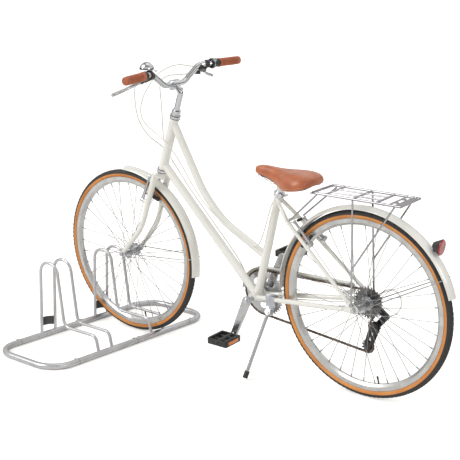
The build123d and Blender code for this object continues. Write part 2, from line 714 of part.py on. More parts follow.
with BuildPart() as crank_arms:
    for side in (-1, 1):
        pin = shell + crank_way * (crank_length * -side)
        with BuildSketch(across(side * crank_inner_y + (7 if side > 0 else -7))) as arm:
            with Locations((shell.X, shell.Z)):
                Circle(17.0)
            with Locations((pin.X, pin.Z)):
                Circle(12.0)
            make_hull()
        extrude(arm.sketch, amount=7, both=True)
        fillet(crank_arms.part.edges().filter_by(GeomType.LINE).group_by(Axis.Y)[0 if side < 0 else -1], 3)
        rod(at(pin, side * 70), at(pin, side * pedal_outer_y), pedal_pin_radius)
        rod(at(pin, side * 76), at(pin, side * (pedal_inner_y - 0.6)), 9.0)
        rod(at(shell, side * (crank_inner_y - 2)), at(shell, side * 80), crank_axle_radius + seat_gap,
            mode=Mode.SUBTRACT)

with BuildPart() as chainring:
    toothed(chainring_teeth, shell, chain_line - 1.1, chain_line + 1.1)
    with BuildSketch(across(chain_line - 1.1)) as windows:
        with Locations((shell.X, shell.Z)):
            with PolarLocations(52, 5, start_angle=-17):
                SlotOverall(44, 26, rotation=90)
    extrude(windows.sketch, amount=-2.2, mode=Mode.SUBTRACT)
    rod(at(shell, chain_line + 1.1), at(shell, crank_inner_y - 0.05), 22.0)
    rod(at(shell, chain_line - 5), at(shell, crank_inner_y + 1), crank_axle_radius + seat_gap,
        mode=Mode.SUBTRACT)


def make_pedal(side):
    """Platform pedal: barrel, two toothed cages and end plates, bored for its pin."""
    pin = shell + crank_way * (crank_length * -side)
    with BuildPart() as made:
        rod(at(pin, side * pedal_inner_y), at(pin, side * (pedal_outer_y + 4)), 11.0)
        for y in (pedal_inner_y + 4, pedal_outer_y - 4):
            with BuildSketch(across(side * y)) as end_plate:
                with Locations((pin.X, pin.Z)):
                    RectangleRounded(92, 24, 6)
            extrude(end_plate.sketch, amount=4, both=True)
        for x in (-39, 39):
            with BuildSketch(across(side * (pedal_inner_y + 4))) as cage:
                with Locations((pin.X + x, pin.Z)):
                    RectangleRounded(12, 24, 3)
            extrude(cage.sketch, amount=side * (pedal_inner_y - pedal_outer_y + 8))
        for y in (pedal_inner_y + 30, pedal_outer_y - 30):
            with BuildSketch(across(side * y)) as web:
                with Locations((pin.X, pin.Z)):
                    RectangleRounded(80, 14, 3)
            extrude(web.sketch, amount=4, both=True)
        rod(at(pin, side * (pedal_inner_y - 5)), at(pin, side * (pedal_outer_y + 1)),
            pedal_pin_radius + running_clearance, mode=Mode.SUBTRACT)
    return made


pedal_left = make_pedal(-1)
pedal_right = make_pedal(1)

with BuildPart() as sprockets:
    first_y = chain_line - driven_sprocket * sprocket_spacing
    for index, teeth in enumerate(sprocket_teeth):
        middle_y = first_y + index * sprocket_spacing
        toothed(teeth, rear_hub, middle_y - 0.9, middle_y + 0.9)
    rod(at(rear_hub, first_y - 0.9), at(rear_hub, first_y + 6 * sprocket_spacing + 0.9), 22.0)
    rod(at(rear_hub, first_y - 5), at(rear_hub, first_y + 40), freehub[2] + running_clearance,
        mode=Mode.SUBTRACT)

guide = rear_hub + Vector(18, 0, -94)
tension = rear_hub + Vector(-9, 0, -174)


def pitch_of(teeth):
    return chain_pitch / (2 * sin(pi / teeth))


# Wheels in the order the chain meets them, anticlockwise in the X-Z view: centre,
# pitch radius and +1 inside the loop or -1 outside it.
chain_wheels = ((shell, pitch_of(chainring_teeth), 1), (tension, pitch_of(pulley_teeth), 1),
                (guide, pitch_of(pulley_teeth), -1),
                (rear_hub, pitch_of(sprocket_teeth[driven_sprocket]), 1))


def chain_loop(outset):
    """Closed line of tangents and arcs round the chain wheels, moved outwards by outset."""
    runs = []
    for this, following in zip(chain_wheels, chain_wheels[1:] + chain_wheels[:1]):
        (c1, r1, s1), (c2, r2, s2) = this, following
        signed_1, signed_2 = s1 * r1 + outset, s2 * r2 + outset
        gap = c2 - c1
        turn = atan2(gap.Z, gap.X) + asin((signed_1 - signed_2) / gap.length)
        normal = Vector(sin(turn), 0, -cos(turn))
        runs.append((c1 + normal * signed_1, c2 + normal * signed_2))
    for index, (centre, radius, sense) in enumerate(chain_wheels):
        arrive, leave = runs[index - 1][1], runs[index][0]
        first = atan2(arrive.Z - centre.Z, arrive.X - centre.X)
        last = atan2(leave.Z - centre.Z, leave.X - centre.X)
        while sense * (last - first) < 0:
            last += sense * 2 * pi
        half = (first + last) / 2
        reach = abs(sense * radius + outset)
        mid = centre + Vector(cos(half), 0, sin(half)) * reach
        ThreePointArc((arrive.X, arrive.Z), (mid.X, mid.Z), (leave.X, leave.Z))
        Line((leave.X, leave.Z), (runs[index][1].X, runs[index][1].Z))


chain_plate_half = 3.8
with BuildPart() as chain:
    for plate_y in (chain_line - 3.4, chain_line + 2.2):
        with BuildSketch(across(plate_y)) as ribbon:
            with BuildLine():
                chain_loop(chain_plate_half)
            make_face()
            with BuildLine():
                chain_loop(-chain_plate_half)
            make_face(mode=Mode.SUBTRACT)
        slab(ribbon, plate_y, plate_y + 1.2)

pulley_pin_radius = 2.5
pulley_hub_radius = 15.0


def make_pulley(centre):
    with BuildPart() as made:
        toothed(pulley_teeth, centre, chain_line - 1.1, chain_line + 1.1, tip=2.4)
        rod(at(centre, chain_line - 4.5), at(centre, chain_line + 4.5), pulley_hub_radius)
        rod(at(centre, chain_line - 6), at(centre, chain_line + 6),
            pulley_pin_radius + running_clearance, mode=Mode.SUBTRACT)
    return made


guide_pulley = make_pulley(guide)
tension_pulley = make_pulley(tension)

hanger = rear_hub + Vector(12, 0, -27)
with BuildPart() as derailleur:
    for plate_y, end_radius in ((chain_line - 8.0, 17.0), (chain_line + 6.0, 19.0)):
        with BuildSketch(across(plate_y)) as cage:
            with Locations((guide.X, guide.Z)):
                Circle(end_radius)
            with Locations((tension.X, tension.Z)):
                Circle(end_radius - 3)
            make_hull()
            middle = (guide + tension) * 0.5
            with Locations((middle.X, middle.Z)):
                SlotOverall(46, 13, rotation=71, mode=Mode.SUBTRACT)
        slab(cage, plate_y, plate_y + 2.0)
    for centre in (guide, tension):
        rod(at(centre, chain_line - 9.5), at(centre, chain_line + 9.5), pulley_pin_radius)
    knuckle = guide + Vector(26, 0, 20)
    rod(at(guide, chain_line + 7.0), at(guide, 70.0), 12.0)
    with BuildSketch(across(60.0)) as arm:
        with Locations((guide.X, guide.Z)):
            Circle(11)
        with Locations((knuckle.X + 4, knuckle.Z + 16)):
            Circle(12)
        make_hull()
    slab(arm, 60.0, 73.0)
    with BuildSketch(across(67.6)) as link:
        with Locations((hanger.X, hanger.Z)):
            Circle(8)
        with Locations((knuckle.X + 4, knuckle.Z + 16)):
            Circle(12)
        make_hull()
    slab(link, 67.6, 78.0)
    rod(at(hanger, 67.6), at(hanger, 80.0), 9.0)
    rod(at(rear_hub, 60), at(rear_hub, 90), 11.5, mode=Mode.SUBTRACT)

guard_radius = 103.0
guard_tail = rear_hub + Vector(-90, 0, 30)
guard_tail_radius = 22.0
guard_band = 23.0             # height of the guard's outer face, over the crank and at the tail
guard_tail_band = 16.0
guard_lift = 15.0
stay_slope = degrees(atan2(bottom_bracket_drop, bottom_bracket_setback))
with BuildPart() as chain_guard:
    for low_y, high_y, inset in ((56.4, 57.9, 0.0), (37.0, 56.4, 1.5)):
        with BuildSketch(across(low_y)) as outline:
            with Locations((shell.X, shell.Z)):
                Circle(guard_radius)
            with Locations((guard_tail.X, guard_tail.Z)):
                Circle(guard_tail_radius)
            make_hull()
            with Locations(Location((shell.X, shell.Z, 0), (0, 0, stay_slope))):
                with Locations((0, guard_lift - 150)):
                    Rectangle(1300, 300, mode=Mode.SUBTRACT)
            if inset:
                with BuildSketch(across(0), mode=Mode.PRIVATE) as core:
                    with Locations((shell.X, shell.Z)):
                        Circle(guard_radius - inset)
                    with Locations((guard_tail.X, guard_tail.Z)):
                        Circle(guard_tail_radius - inset)
                    make_hull()
                add(core.sketch_local, mode=Mode.SUBTRACT)
            else:
                with BuildSketch(across(0), mode=Mode.PRIVATE) as window:
                    with Locations((shell.X, shell.Z)):
                        Circle(guard_radius - guard_band)
                    with Locations((guard_tail.X, guard_tail.Z)):
                        Circle(guard_tail_radius - guard_tail_band)
                    make_hull()
                add(window.sketch_local, mode=Mode.SUBTRACT)
        slab(outline, low_y, high_y)
    with BuildSketch(across(36.0)) as tail_mouth:
        with Locations((guard_tail.X + 50, guard_tail.Z)):
            Rectangle(100, 130)
    slab(tail_mouth, 36.0, 56.4, mode=Mode.SUBTRACT)

# ---------------------------------------------------------------- brakes
arm_length = 104.0
front_arm_out = 32.0          # arm's middle in front of its stay's middle
rear_arm_out = 22.0
boss_end = 11.0               # boss past the arm's middle
pad_offset = 25.0
pad_gap = 1.6


def make_brake_arm(mounting, side):
    """V-brake arm on its boss, with its pad holder and rubber pad beside the rim."""
    foot, up, out, half_y, arm_out = mounting
    base = at(foot, side * half_y)
    middle = base + out * arm_out
    top = at(foot + up * arm_length + out * arm_out, side * 31.0)
    pad = foot + up * pad_offset
    with BuildPart() as made:
        rod(base + out * (arm_out - 6.7), base + out * (arm_out + 8.0), 8.5)
        rod(middle, top, 6.5, 4.5)
        rod(top - out * 6.0, top + out * 6.0, 5.0)
        rod(at(pad + out * arm_out, side * (half_y - 1.0)), at(pad + out * arm_out, side * 30.0), 4.5)
        rod(at(pad + out * arm_out, side * 30.0), at(pad, side * 26.0), 3.6)
        along = out
        inner_y = rim_width / 2 + pad_gap
        with BuildSketch(Plane(origin=at(pad, side * inner_y), x_dir=along, z_dir=(0, side, 0))) as shoe:
            SlotOverall(62, 10)
        extrude(shoe.sketch, amount=26.0 - inner_y)
        rod(base - out * 2, base + out * 60, boss_radius + running_clearance, mode=Mode.SUBTRACT)
    return made


front_boss_way = (blade_bend + (crown - blade_bend) * 0.48 - front_hub).normalized()
front_out_way = Vector(-steer.Z, 0, steer.X)
front_boss_foot = front_hub + front_boss_way * boss_reach


def blade_y(point):
    """Sideways place of the straight fork blade beside a point."""
    share = (crown - point).dot(steer) / (crown - blade_bend).length
    return crown_half + 6.0 * share


front_half_y = blade_y(front_boss_foot)
front_brake = (front_boss_foot, steer, front_out_way, front_half_y, front_arm_out)
rear_brake = (rear_boss, seat_stay_way, rear_boss_way, 44.5, rear_arm_out)
front_brake_arm_left = make_brake_arm(front_brake, -1)
front_brake_arm_right = make_brake_arm(front_brake, 1)
rear_brake_arm_left = make_brake_arm(rear_brake, -1)
rear_brake_arm_right = make_brake_arm(rear_brake, 1)

# Front bosses stand on the fork blades.
with fork:
    for side in (-1, 1):
        foot = at(front_boss_foot, side * front_half_y)
        rod(foot - front_out_way * 4, foot + front_out_way * (front_arm_out + boss_end), boss_radius)
        rod(foot - front_out_way * 4, foot + front_out_way * (front_arm_out - 7.0), 7.0)

# ---------------------------------------------------------------- cable housings
housing_radius = 2.3
housing_share = 0.45          # share of the shorter run that a bend's tangent may take


def housing(name, points):
    """Cable housing along straight runs joined by arcs, each as large as its runs allow."""
    places = [Vector(*point) for point in points]
    bends = []
    for before, corner, after in zip(places, places[1:], places[2:]):
        arrive, leave = corner - before, after - corner
        half_turn = radians(arrive.get_angle(leave)) / 2
        bends.append(housing_share * min(arrive.length, leave.length) / tan(half_turn))
    print(name, "bend radii", [round(bend) for bend in bends])
    bent_rod(places, bends, housing_radius)


def housing_start(side, gap):
    """Where a housing meets the barrel of the lever bracket on one side."""
    foot, way = adjuster(side)
    return foot + way * (adjuster_length + gap)


with BuildPart() as front_brake_cable:
    housing("front brake", [
        housing_start(-1, 0.4), (-340, -138, 1110), (-378, -118, 1084), (-402, -104, 1042),
        (-415, -90, 990), (-424, -72, 936), (-420, -52, 892), (-408, -28, 852), (-398, 2, 826),
        (-397, 34, 802), (-402, 62, 776), (-412, 80, 746), (-421, 81, 716), (-422, 62, 697),
        (-422, 37.5, 695)])

with BuildPart() as frame_cables:
    housing("rear brake", [
        housing_start(1, 4.0), (-338, 132, 1116), (-354, 108, 1122), (-372, 70, 1118),
        (-392, 30, 1098), (-412, -2, 1060), (-428, -26, 1015), (-436, -40, 968), (-428, -46, 928),
        (-400, -44, 896), (-362, -38, 872), (-325, -32, 846), (-290, -28, 812), (-258, -24, 772),
        (-226, -21, 722), (-188, -21, 669), (-146, -21, 624), (-100, -21, 584), (-48, -21, 552),
        (4, -21, 524), (52, -21, 500), (92, -22, 486), (116, -23, 492), (132, -23, 518),
        (146, -22, 556), (162, -22, 604), (178, -25, 648), (200, -34, 682), (228, -49, 698),
        (256, -68, 690), (277, -82, 664), (287, -80, 635), (290, -61, 618), (290, -37.5, 616)])
    housing("shifting", [
        (-304, 160, 1090), (-330, 138, 1083), (-358, 104, 1082), (-378, 66, 1083), (-384, 32, 1072),
        (-377, 12, 1044), (-370, 8, 1005), (-371, 12, 960), (-378, 20, 908), (-384, 27, 856),
        (-380, 32, 806), (-358, 34, 765), (-316, 31, 720), (-262, 25, 662), (-10, 22, 404),
        (40, 20, 322), (62, 18, 274), (92, 18, 250), (130, 22, 260), (180, 29, 279),
        (250, 37, 289), (410, 53, 310), (474, 62, 320), (504, 74, 326), (534, 87, 336),
        (568, 93, 356), (603, 92, 384), (638, 88, 391), (666, 82, 371), (672, 77, 338),
        (656, 73, 308), (627, 70, 293)])

# ---------------------------------------------------------------- side stand
stand_pivot = shell + Vector(90, -50, -32)
stand_reach = 171.0            # foot to the left of the bicycle's middle
stand_foot = Vector(shell.X + 63, -stand_reach, tan(radians(lean)) * stand_reach + 9.0)
stand_way = (stand_foot - stand_pivot).normalized()
stand_axis = Vector(0, stand_way.Z, -stand_way.Y).normalized()
stand_pin_radius = 4.0
with BuildPart() as kickstand_bracket:
    stay_start = at(shell + Vector(8, 0, 2), -24.0)
    stay_end = at(rear_hub + chain_stay_way * chain_stay_end, -stay_half)
    hold = stay_start + (stay_end - stay_start) * (82.0 / (stay_end.X - stay_start.X))
    with BuildSketch(Plane.XY.offset(hold.Z - 26)) as block:
        with Locations((hold.X, hold.Y + 1)):
            RectangleRounded(44, 26, 5)
    extrude(block.sketch, amount=41)
    rod(Vector(hold.X, hold.Y, hold.Z - 22), stand_pivot - stand_axis * 14, 9.0)
    rod(stand_pivot - stand_axis * 14, stand_pivot - stand_axis * 2, 12.0)
    rod(stand_pivot - stand_axis * 2, stand_pivot + stand_axis * 14, 13.0, mode=Mode.SUBTRACT)
    rod(stand_pivot - stand_axis * 14, stand_pivot + stand_axis * 12, stand_pin_radius)
    rod(stand_pivot + stand_axis * 12, stand_pivot + stand_axis * 15, 7.5)
    rod(stay_start, stay_end, 10.0, 8.0, mode=Mode.SUBTRACT)
    rod(at(chain_bridge, -40), at(chain_bridge, 40), 6.5 + seat_gap, mode=Mode.SUBTRACT)
with BuildPart() as kickstand:
    rod(stand_pivot - stand_axis * 1.6, stand_pivot + stand_axis * 11.6, 12.0)
    rod(stand_pivot + stand_axis * 5, stand_foot - stand_way * 12, 6.5)
    rod(stand_foot - stand_way * 26, stand_foot, 9.0)
    rod(stand_pivot - stand_axis * 20, stand_pivot + stand_axis * 20,
        stand_pin_radius + running_clearance, mode=Mode.SUBTRACT)

# ---------------------------------------------------------------- floor rack
rack_half = rack_length / 2
rack_middle_x = (rack_front_x + rack_rear_x) / 2
rail_joint = 323.0
corner_radius = 95.0
with BuildPart() as rack_base:
    for side in (-1, 1):
        ends = [(rack_rear_x, side * (rail_joint + 0.2), rack_tube_radius),
                (rack_rear_x, side * (rack_half - rack_tube_radius), rack_tube_radius),
                (rack_front_x, side * (rack_half - rack_tube_radius), rack_tube_radius),
                (rack_front_x, side * (rail_joint + 0.2), rack_tube_radius)]
        bent_rod(ends, corner_radius, rack_tube_radius, rack_tube_radius - 1.5)
        for x in (rack_rear_x, rack_front_x):
            tube((x, side * 0.2, rack_tube_radius), (x, side * (rail_joint - 0.2), rack_tube_radius),
                 rack_tube_radius, rack_tube_radius - 1.5)


def hoop_points(y):
    """Corner points of one wheel hoop, from the rear rail over the top to the front rail."""
    return [(rack_rear_x, y, rack_tube_radius), (rack_rear_x, y, hoop_height),
            (rack_rear_x + 94, y, hoop_height), (rack_rear_x + 137, y, 80.0),
            (rack_front_x - 21, y, 80.0), (rack_front_x - 3, y, rack_tube_radius)]


with BuildPart() as wheel_hoops:
    for bay_y in (bicycle_bay_y, spare_bay_y):
        for y in (bay_y - hoop_spacing / 2, bay_y + hoop_spacing / 2):
            bent_rod(hoop_points(y), [46.0, 46.0, 34.0, 26.0], hoop_tube_radius)
    for x in (rack_rear_x, rack_front_x):
        rod((x, -rack_half, rack_tube_radius), (x, rack_half, rack_tube_radius),
            rack_tube_radius, mode=Mode.SUBTRACT)

with BuildPart() as hoop_plates:
    for bay_y in (bicycle_bay_y, spare_bay_y):
        reach = hoop_spacing / 2
        with BuildSketch(Plane.XY.offset(42)) as strap:
            with BuildLine():
                ThreePointArc((rack_rear_x - 6, bay_y - reach + 2), (rack_rear_x - 26, bay_y),
                              (rack_rear_x - 6, bay_y + reach - 2))
                Line((rack_rear_x - 6, bay_y + reach - 2), (rack_rear_x - 3, bay_y + reach - 2))
                ThreePointArc((rack_rear_x - 3, bay_y + reach - 2), (rack_rear_x - 23, bay_y),
                              (rack_rear_x - 3, bay_y - reach + 2))
                Line((rack_rear_x - 3, bay_y - reach + 2), (rack_rear_x - 6, bay_y - reach + 2))
            make_face()
        extrude(strap.sketch, amount=36)
        for y in (bay_y - reach, bay_y + reach):
            rod((rack_rear_x, y, 30), (rack_rear_x, y, 90), hoop_tube_radius + seat_gap,
                mode=Mode.SUBTRACT)

bolt_radius = 3.0
with BuildPart() as rack_bolts:
    for x in (rack_rear_x, rack_front_x):
        for y in (-rail_joint - 14, -14, 14, rail_joint + 14):
            rod((x, y, 2 * rack_tube_radius - 0.6), (x, y, 2 * rack_tube_radius + 3.2), 5.0)
with rack_base:
    for x in (rack_rear_x, rack_front_x):
        for y in (-rail_joint - 14, -14, 14, rail_joint + 14):
            rod((x, y, 2 * rack_tube_radius - 0.6), (x, y, 2 * rack_tube_radius + 9), 5.0,
                mode=Mode.SUBTRACT)

# ---------------------------------------------------------------- files
# Every bicycle piece is built upright and then leaned about the tyres' ground line.
stance = Location((0, lean_offset, tyre_section), (lean, 0, 0)) * Location((0, 0, -tyre_section))

rack_pieces = {"rack_base": rack_base, "wheel_hoops": wheel_hoops,
               "hoop_plates": hoop_plates, "rack_bolts": rack_bolts}
bicycle_pieces = {
    "head_tube": head_tube, "top_tube": top_tube, "down_tube": down_tube, "seat_tube": seat_tube,
    "chain_stays": chain_stays, "seat_stays": seat_stays, "headset": headset,
    "seat_clamp": seat_clamp, "rear_mudguard": rear_mudguard, "rear_mudguard_stays": rear_mudguard_stays,
    "carrier": carrier,
    "rear_reflector": rear_reflector, "reflector_lens": reflector_lens,
    "chain_guard": chain_guard, "chain": chain, "derailleur": derailleur,
    "kickstand_bracket": kickstand_bracket, "rear_axle": rear_axle,
    "fork": fork, "stem": stem, "handlebar": handlebar, "grips": grips,
    "lever_brackets": lever_brackets, "bell": bell, "front_mudguard": front_mudguard,
    "front_mudguard_stays": front_mudguard_stays,
    "front_axle": front_axle,
    "front_tyre": front_tyre, "front_rim": front_rim, "front_spokes": front_spokes,
    "front_hub": front_hub_shell,
    "rear_tyre": rear_tyre, "rear_rim": rear_rim, "rear_spokes": rear_spokes,
    "rear_hub": rear_hub_shell,
    "sprockets": sprockets, "crank_arms": crank_arms, "crank_axle": crank_axle,
    "chainring": chainring, "pedal_left": pedal_left, "pedal_right": pedal_right,
    "brake_lever_left": brake_lever_left, "brake_lever_right": brake_lever_right,
    "front_brake_arm_left": front_brake_arm_left, "front_brake_arm_right": front_brake_arm_right,
    "rear_brake_arm_left": rear_brake_arm_left, "rear_brake_arm_right": rear_brake_arm_right,
    "shifter_twist": shifter_twist, "bell_lever": bell_lever, "kickstand": kickstand,
    "seatpost": seatpost, "saddle": saddle,
    "front_brake_cable": front_brake_cable, "frame_cables": frame_cables,
    "guide_pulley": guide_pulley, "tension_pulley": tension_pulley,
}

os.makedirs("parts", exist_ok=True)
for pieces, place in ((rack_pieces, Location()), (bicycle_pieces, stance)):
    for name, piece in pieces.items():
        piece.part.label = name
        export_step(piece.part.moved(place), f"parts/{name}.step")
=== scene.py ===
"""Looks of a step-through city bicycle that leans on its side stand in a two-bay floor rack.

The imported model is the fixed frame. Each sub-assembly is a class that dresses its frame nodes
and adds the pieces that need more detail. Everything is in metres, in the frame's own axes.
"""

import json
import logging
from dataclasses import dataclass
from enum import Enum
from math import asin, atan2, cos, pi, radians, sin, tau

import bmesh
import bpy
from mathutils import Matrix, Vector

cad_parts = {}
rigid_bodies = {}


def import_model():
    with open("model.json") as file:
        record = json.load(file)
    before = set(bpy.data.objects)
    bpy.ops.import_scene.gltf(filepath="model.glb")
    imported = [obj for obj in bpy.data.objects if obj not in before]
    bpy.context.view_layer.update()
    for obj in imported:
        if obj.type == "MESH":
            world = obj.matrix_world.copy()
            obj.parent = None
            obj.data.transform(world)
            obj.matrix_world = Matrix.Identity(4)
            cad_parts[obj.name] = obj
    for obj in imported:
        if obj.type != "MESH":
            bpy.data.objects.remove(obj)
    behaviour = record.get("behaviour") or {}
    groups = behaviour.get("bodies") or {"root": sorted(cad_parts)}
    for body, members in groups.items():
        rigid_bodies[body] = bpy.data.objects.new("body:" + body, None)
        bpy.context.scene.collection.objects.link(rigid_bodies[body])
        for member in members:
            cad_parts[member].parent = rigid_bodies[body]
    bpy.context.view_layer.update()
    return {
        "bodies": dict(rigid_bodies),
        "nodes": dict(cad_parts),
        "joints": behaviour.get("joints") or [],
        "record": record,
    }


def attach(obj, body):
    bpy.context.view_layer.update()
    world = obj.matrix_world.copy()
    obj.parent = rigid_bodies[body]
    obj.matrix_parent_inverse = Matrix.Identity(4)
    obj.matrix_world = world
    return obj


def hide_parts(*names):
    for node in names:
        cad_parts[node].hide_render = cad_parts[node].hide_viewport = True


LOG = logging.getLogger("bicycle_on_stand")
Triple = tuple[float, float, float]
Socket = bpy.types.NodeSocket
Sockets = bpy.types.bpy_prop_collection
Piece = bpy.types.Object
Tree = bpy.types.NodeTree


# ---- shader graphs
class Graph:
    """Adds and joins the nodes of one node tree."""

    def __init__(self, tree: Tree) -> None:
        """Keep the tree that nodes are added to."""
        self.tree = tree

    def add(self, kind: str, settings: dict | None = None, **inputs: object) -> bpy.types.Node:
        """Add a node.

        Args:
            kind: the node's Blender type name.
            settings: attributes set on the node itself.
            inputs: values or sockets for the inputs, by name with spaces as underscores.

        Returns:
            The new node.
        """
        node = self.tree.nodes.new(kind)
        for key, value in (settings or {}).items():
            setattr(node, key, value)
        self.fill(node.inputs, **inputs)
        return node

    def feed(self, socket: Socket, value: object) -> None:
        """Join a socket to another one, or set its value."""
        if isinstance(value, Socket):
            self.tree.links.new(value, socket)
        else:
            socket.default_value = value

    def fill(self, sockets: Sockets, **values: object) -> None:
        """Feed several sockets, by name with spaces as underscores."""
        for key, value in values.items():
            self.feed(sockets[key.replace("_", " ")], value)

    def use(self, group: Tree, **inputs: object) -> Sockets:
        """Place a shader group and return its outputs."""
        return self.add("ShaderNodeGroup", {"node_tree": group}, **inputs).outputs

    def math(self, operation: str, *values: object) -> Socket:
        """Return the result socket of a Math node."""
        node = self.add("ShaderNodeMath", {"operation": operation})
        for socket, value in zip(node.inputs, values):
            self.feed(socket, value)
        return node.outputs[0]

    def noise(self, where: object, scale: object, detail: float, rough: float = 0.5) -> Socket:
        """Return the value of a Noise Texture node."""
        return self.add("ShaderNodeTexNoise", Vector=where, Scale=scale, Detail=detail,
                        Roughness=rough).outputs["Fac"]

    def ramp(self, value: object, low: float, high: float, to_low: float = 0.0,
             to_high: float = 1.0) -> Socket:
        """Return a value mapped smoothly from low..high to to_low..to_high."""
        return self.add("ShaderNodeMapRange", {"interpolation_type": "SMOOTHSTEP"}, Value=value,
                        From_Min=low, From_Max=high, To_Min=to_low,
                        To_Max=to_high).outputs["Result"]

    def blend(self, share: object, first: object, second: object) -> Socket:
        """Return a colour mixed between two colours or colour sockets."""
        node = self.add("ShaderNodeMix", {"data_type": "RGBA"})
        for index, value in ((0, share), (6, first), (7, second)):
            if isinstance(value, tuple) and len(value) == 3:
                value = (*value, 1.0)
            self.feed(node.inputs[index], value)
        return node.outputs[2]


FLOAT, VECTOR, COLOUR = "NodeSocketFloat", "NodeSocketVector", "NodeSocketColor"
WHITE = (1.0, 1.0, 1.0, 1.0)


def new_group(name: str, inputs: dict[str, tuple[str, object]],
              outputs: dict[str, str]) -> tuple[Graph, Sockets, Sockets]:
    """Make a shader node group with named sockets.

    Args:
        name: the group's name.
        inputs: socket type and default value by socket name.
        outputs: socket type by socket name.

    Returns:
        The group's graph, the sockets of its inputs and the sockets of its results.
    """
    tree = bpy.data.node_groups.new(name, "ShaderNodeTree")
    for label, (kind, value) in inputs.items():
        socket = tree.interface.new_socket(name=label, in_out="INPUT", socket_type=kind)
        if value is not None:
            socket.default_value = value
    for label, kind in outputs.items():
        tree.interface.new_socket(name=label, in_out="OUTPUT", socket_type=kind)
    graph = Graph(tree)
    return graph, graph.add("NodeGroupInput").outputs, graph.add("NodeGroupOutput").inputs


class Effects:
    """Shader node groups that more than one finish places in its material."""

    def __init__(self) -> None:
        """Build each group once."""
        self.tone, self.grain = self._tone(), self._grain()
        self.brush, self.dust = self._brush(), self._dust()

    @staticmethod
    def _tone() -> Tree:
        """Return the group for slow colour and gloss changes over a surface."""
        graph, given, made = new_group(
            "slow_tone", {"Vector": (VECTOR, None), "Scale": (FLOAT, 10.0),
                          "First": (COLOUR, WHITE), "Second": (COLOUR, WHITE)},
            {"Color": COLOUR, "Mask": FLOAT})
        mask = graph.ramp(graph.noise(given["Vector"], given["Scale"], 5.0, 0.55), 0.32, 0.68)
        graph.fill(made, Color=graph.blend(mask, given["First"], given["Second"]), Mask=mask)
        return graph.tree

    @staticmethod
    def _grain() -> Tree:
        """Return the group for the height of a fine pebbled grain."""
        graph, given, made = new_group(
            "fine_grain", {"Vector": (VECTOR, None), "Scale": (FLOAT, 500.0),
                           "Cells": (FLOAT, 0.5)}, {"Height": FLOAT})
        cells = graph.add("ShaderNodeTexVoronoi", Vector=given["Vector"], Scale=given["Scale"])
        noise = graph.noise(given["Vector"], graph.math("MULTIPLY", given["Scale"], 0.7), 3.0)
        pebble = graph.ramp(cells.outputs["Distance"], 0.1, 0.75, 1.0, 0.0)
        rest = graph.math("SUBTRACT", 1.0, given["Cells"])
        graph.fill(made, Height=graph.math("ADD", graph.math("MULTIPLY", pebble, given["Cells"]),
                                           graph.math("MULTIPLY", noise, rest)))
        return graph.tree

    @staticmethod
    def _brush() -> Tree:
        """Return the group for fine drawn lines: noise stretched along one axis."""
        graph, given, made = new_group(
            "drawn_lines", {"Vector": (VECTOR, None), "Stretch": (VECTOR, (20, 900, 900))},
            {"Height": FLOAT, "Mask": FLOAT})
        spread = graph.add("ShaderNodeVectorMath", {"operation": "MULTIPLY"})
        graph.feed(spread.inputs[0], given["Vector"])
        graph.feed(spread.inputs[1], given["Stretch"])
        noise = graph.noise(spread.outputs[0], 1.0, 4.0)
        graph.fill(made, Height=noise, Mask=graph.ramp(noise, 0.3, 0.7))
        return graph.tree

    @staticmethod
    def _dust() -> Tree:
        """Return the group that lays thin dust on surfaces which face up."""
        graph, given, made = new_group(
            "settled_dust", {"Vector": (VECTOR, None), "Color": (COLOUR, WHITE),
                             "Amount": (FLOAT, 0.1)}, {"Color": COLOUR, "Mask": FLOAT})
        facing = graph.add("ShaderNodeNewGeometry").outputs["Normal"]
        rise = graph.add("ShaderNodeSeparateXYZ", Vector=facing).outputs["Z"]
        level = graph.math("MULTIPLY", graph.ramp(rise, 0.2, 1.0),
                           graph.ramp(graph.noise(given["Vector"], 60.0, 6.0), 0.35, 0.75))
        mask = graph.math("MULTIPLY", level, given["Amount"])
        graph.fill(made, Color=graph.blend(mask, given["Color"], (0.62, 0.58, 0.52)), Mask=mask)
        return graph.tree


class Surface(Enum):
    """How a finish's fine relief is made."""

    GRAIN = "grain"
    DRAWN = "drawn"


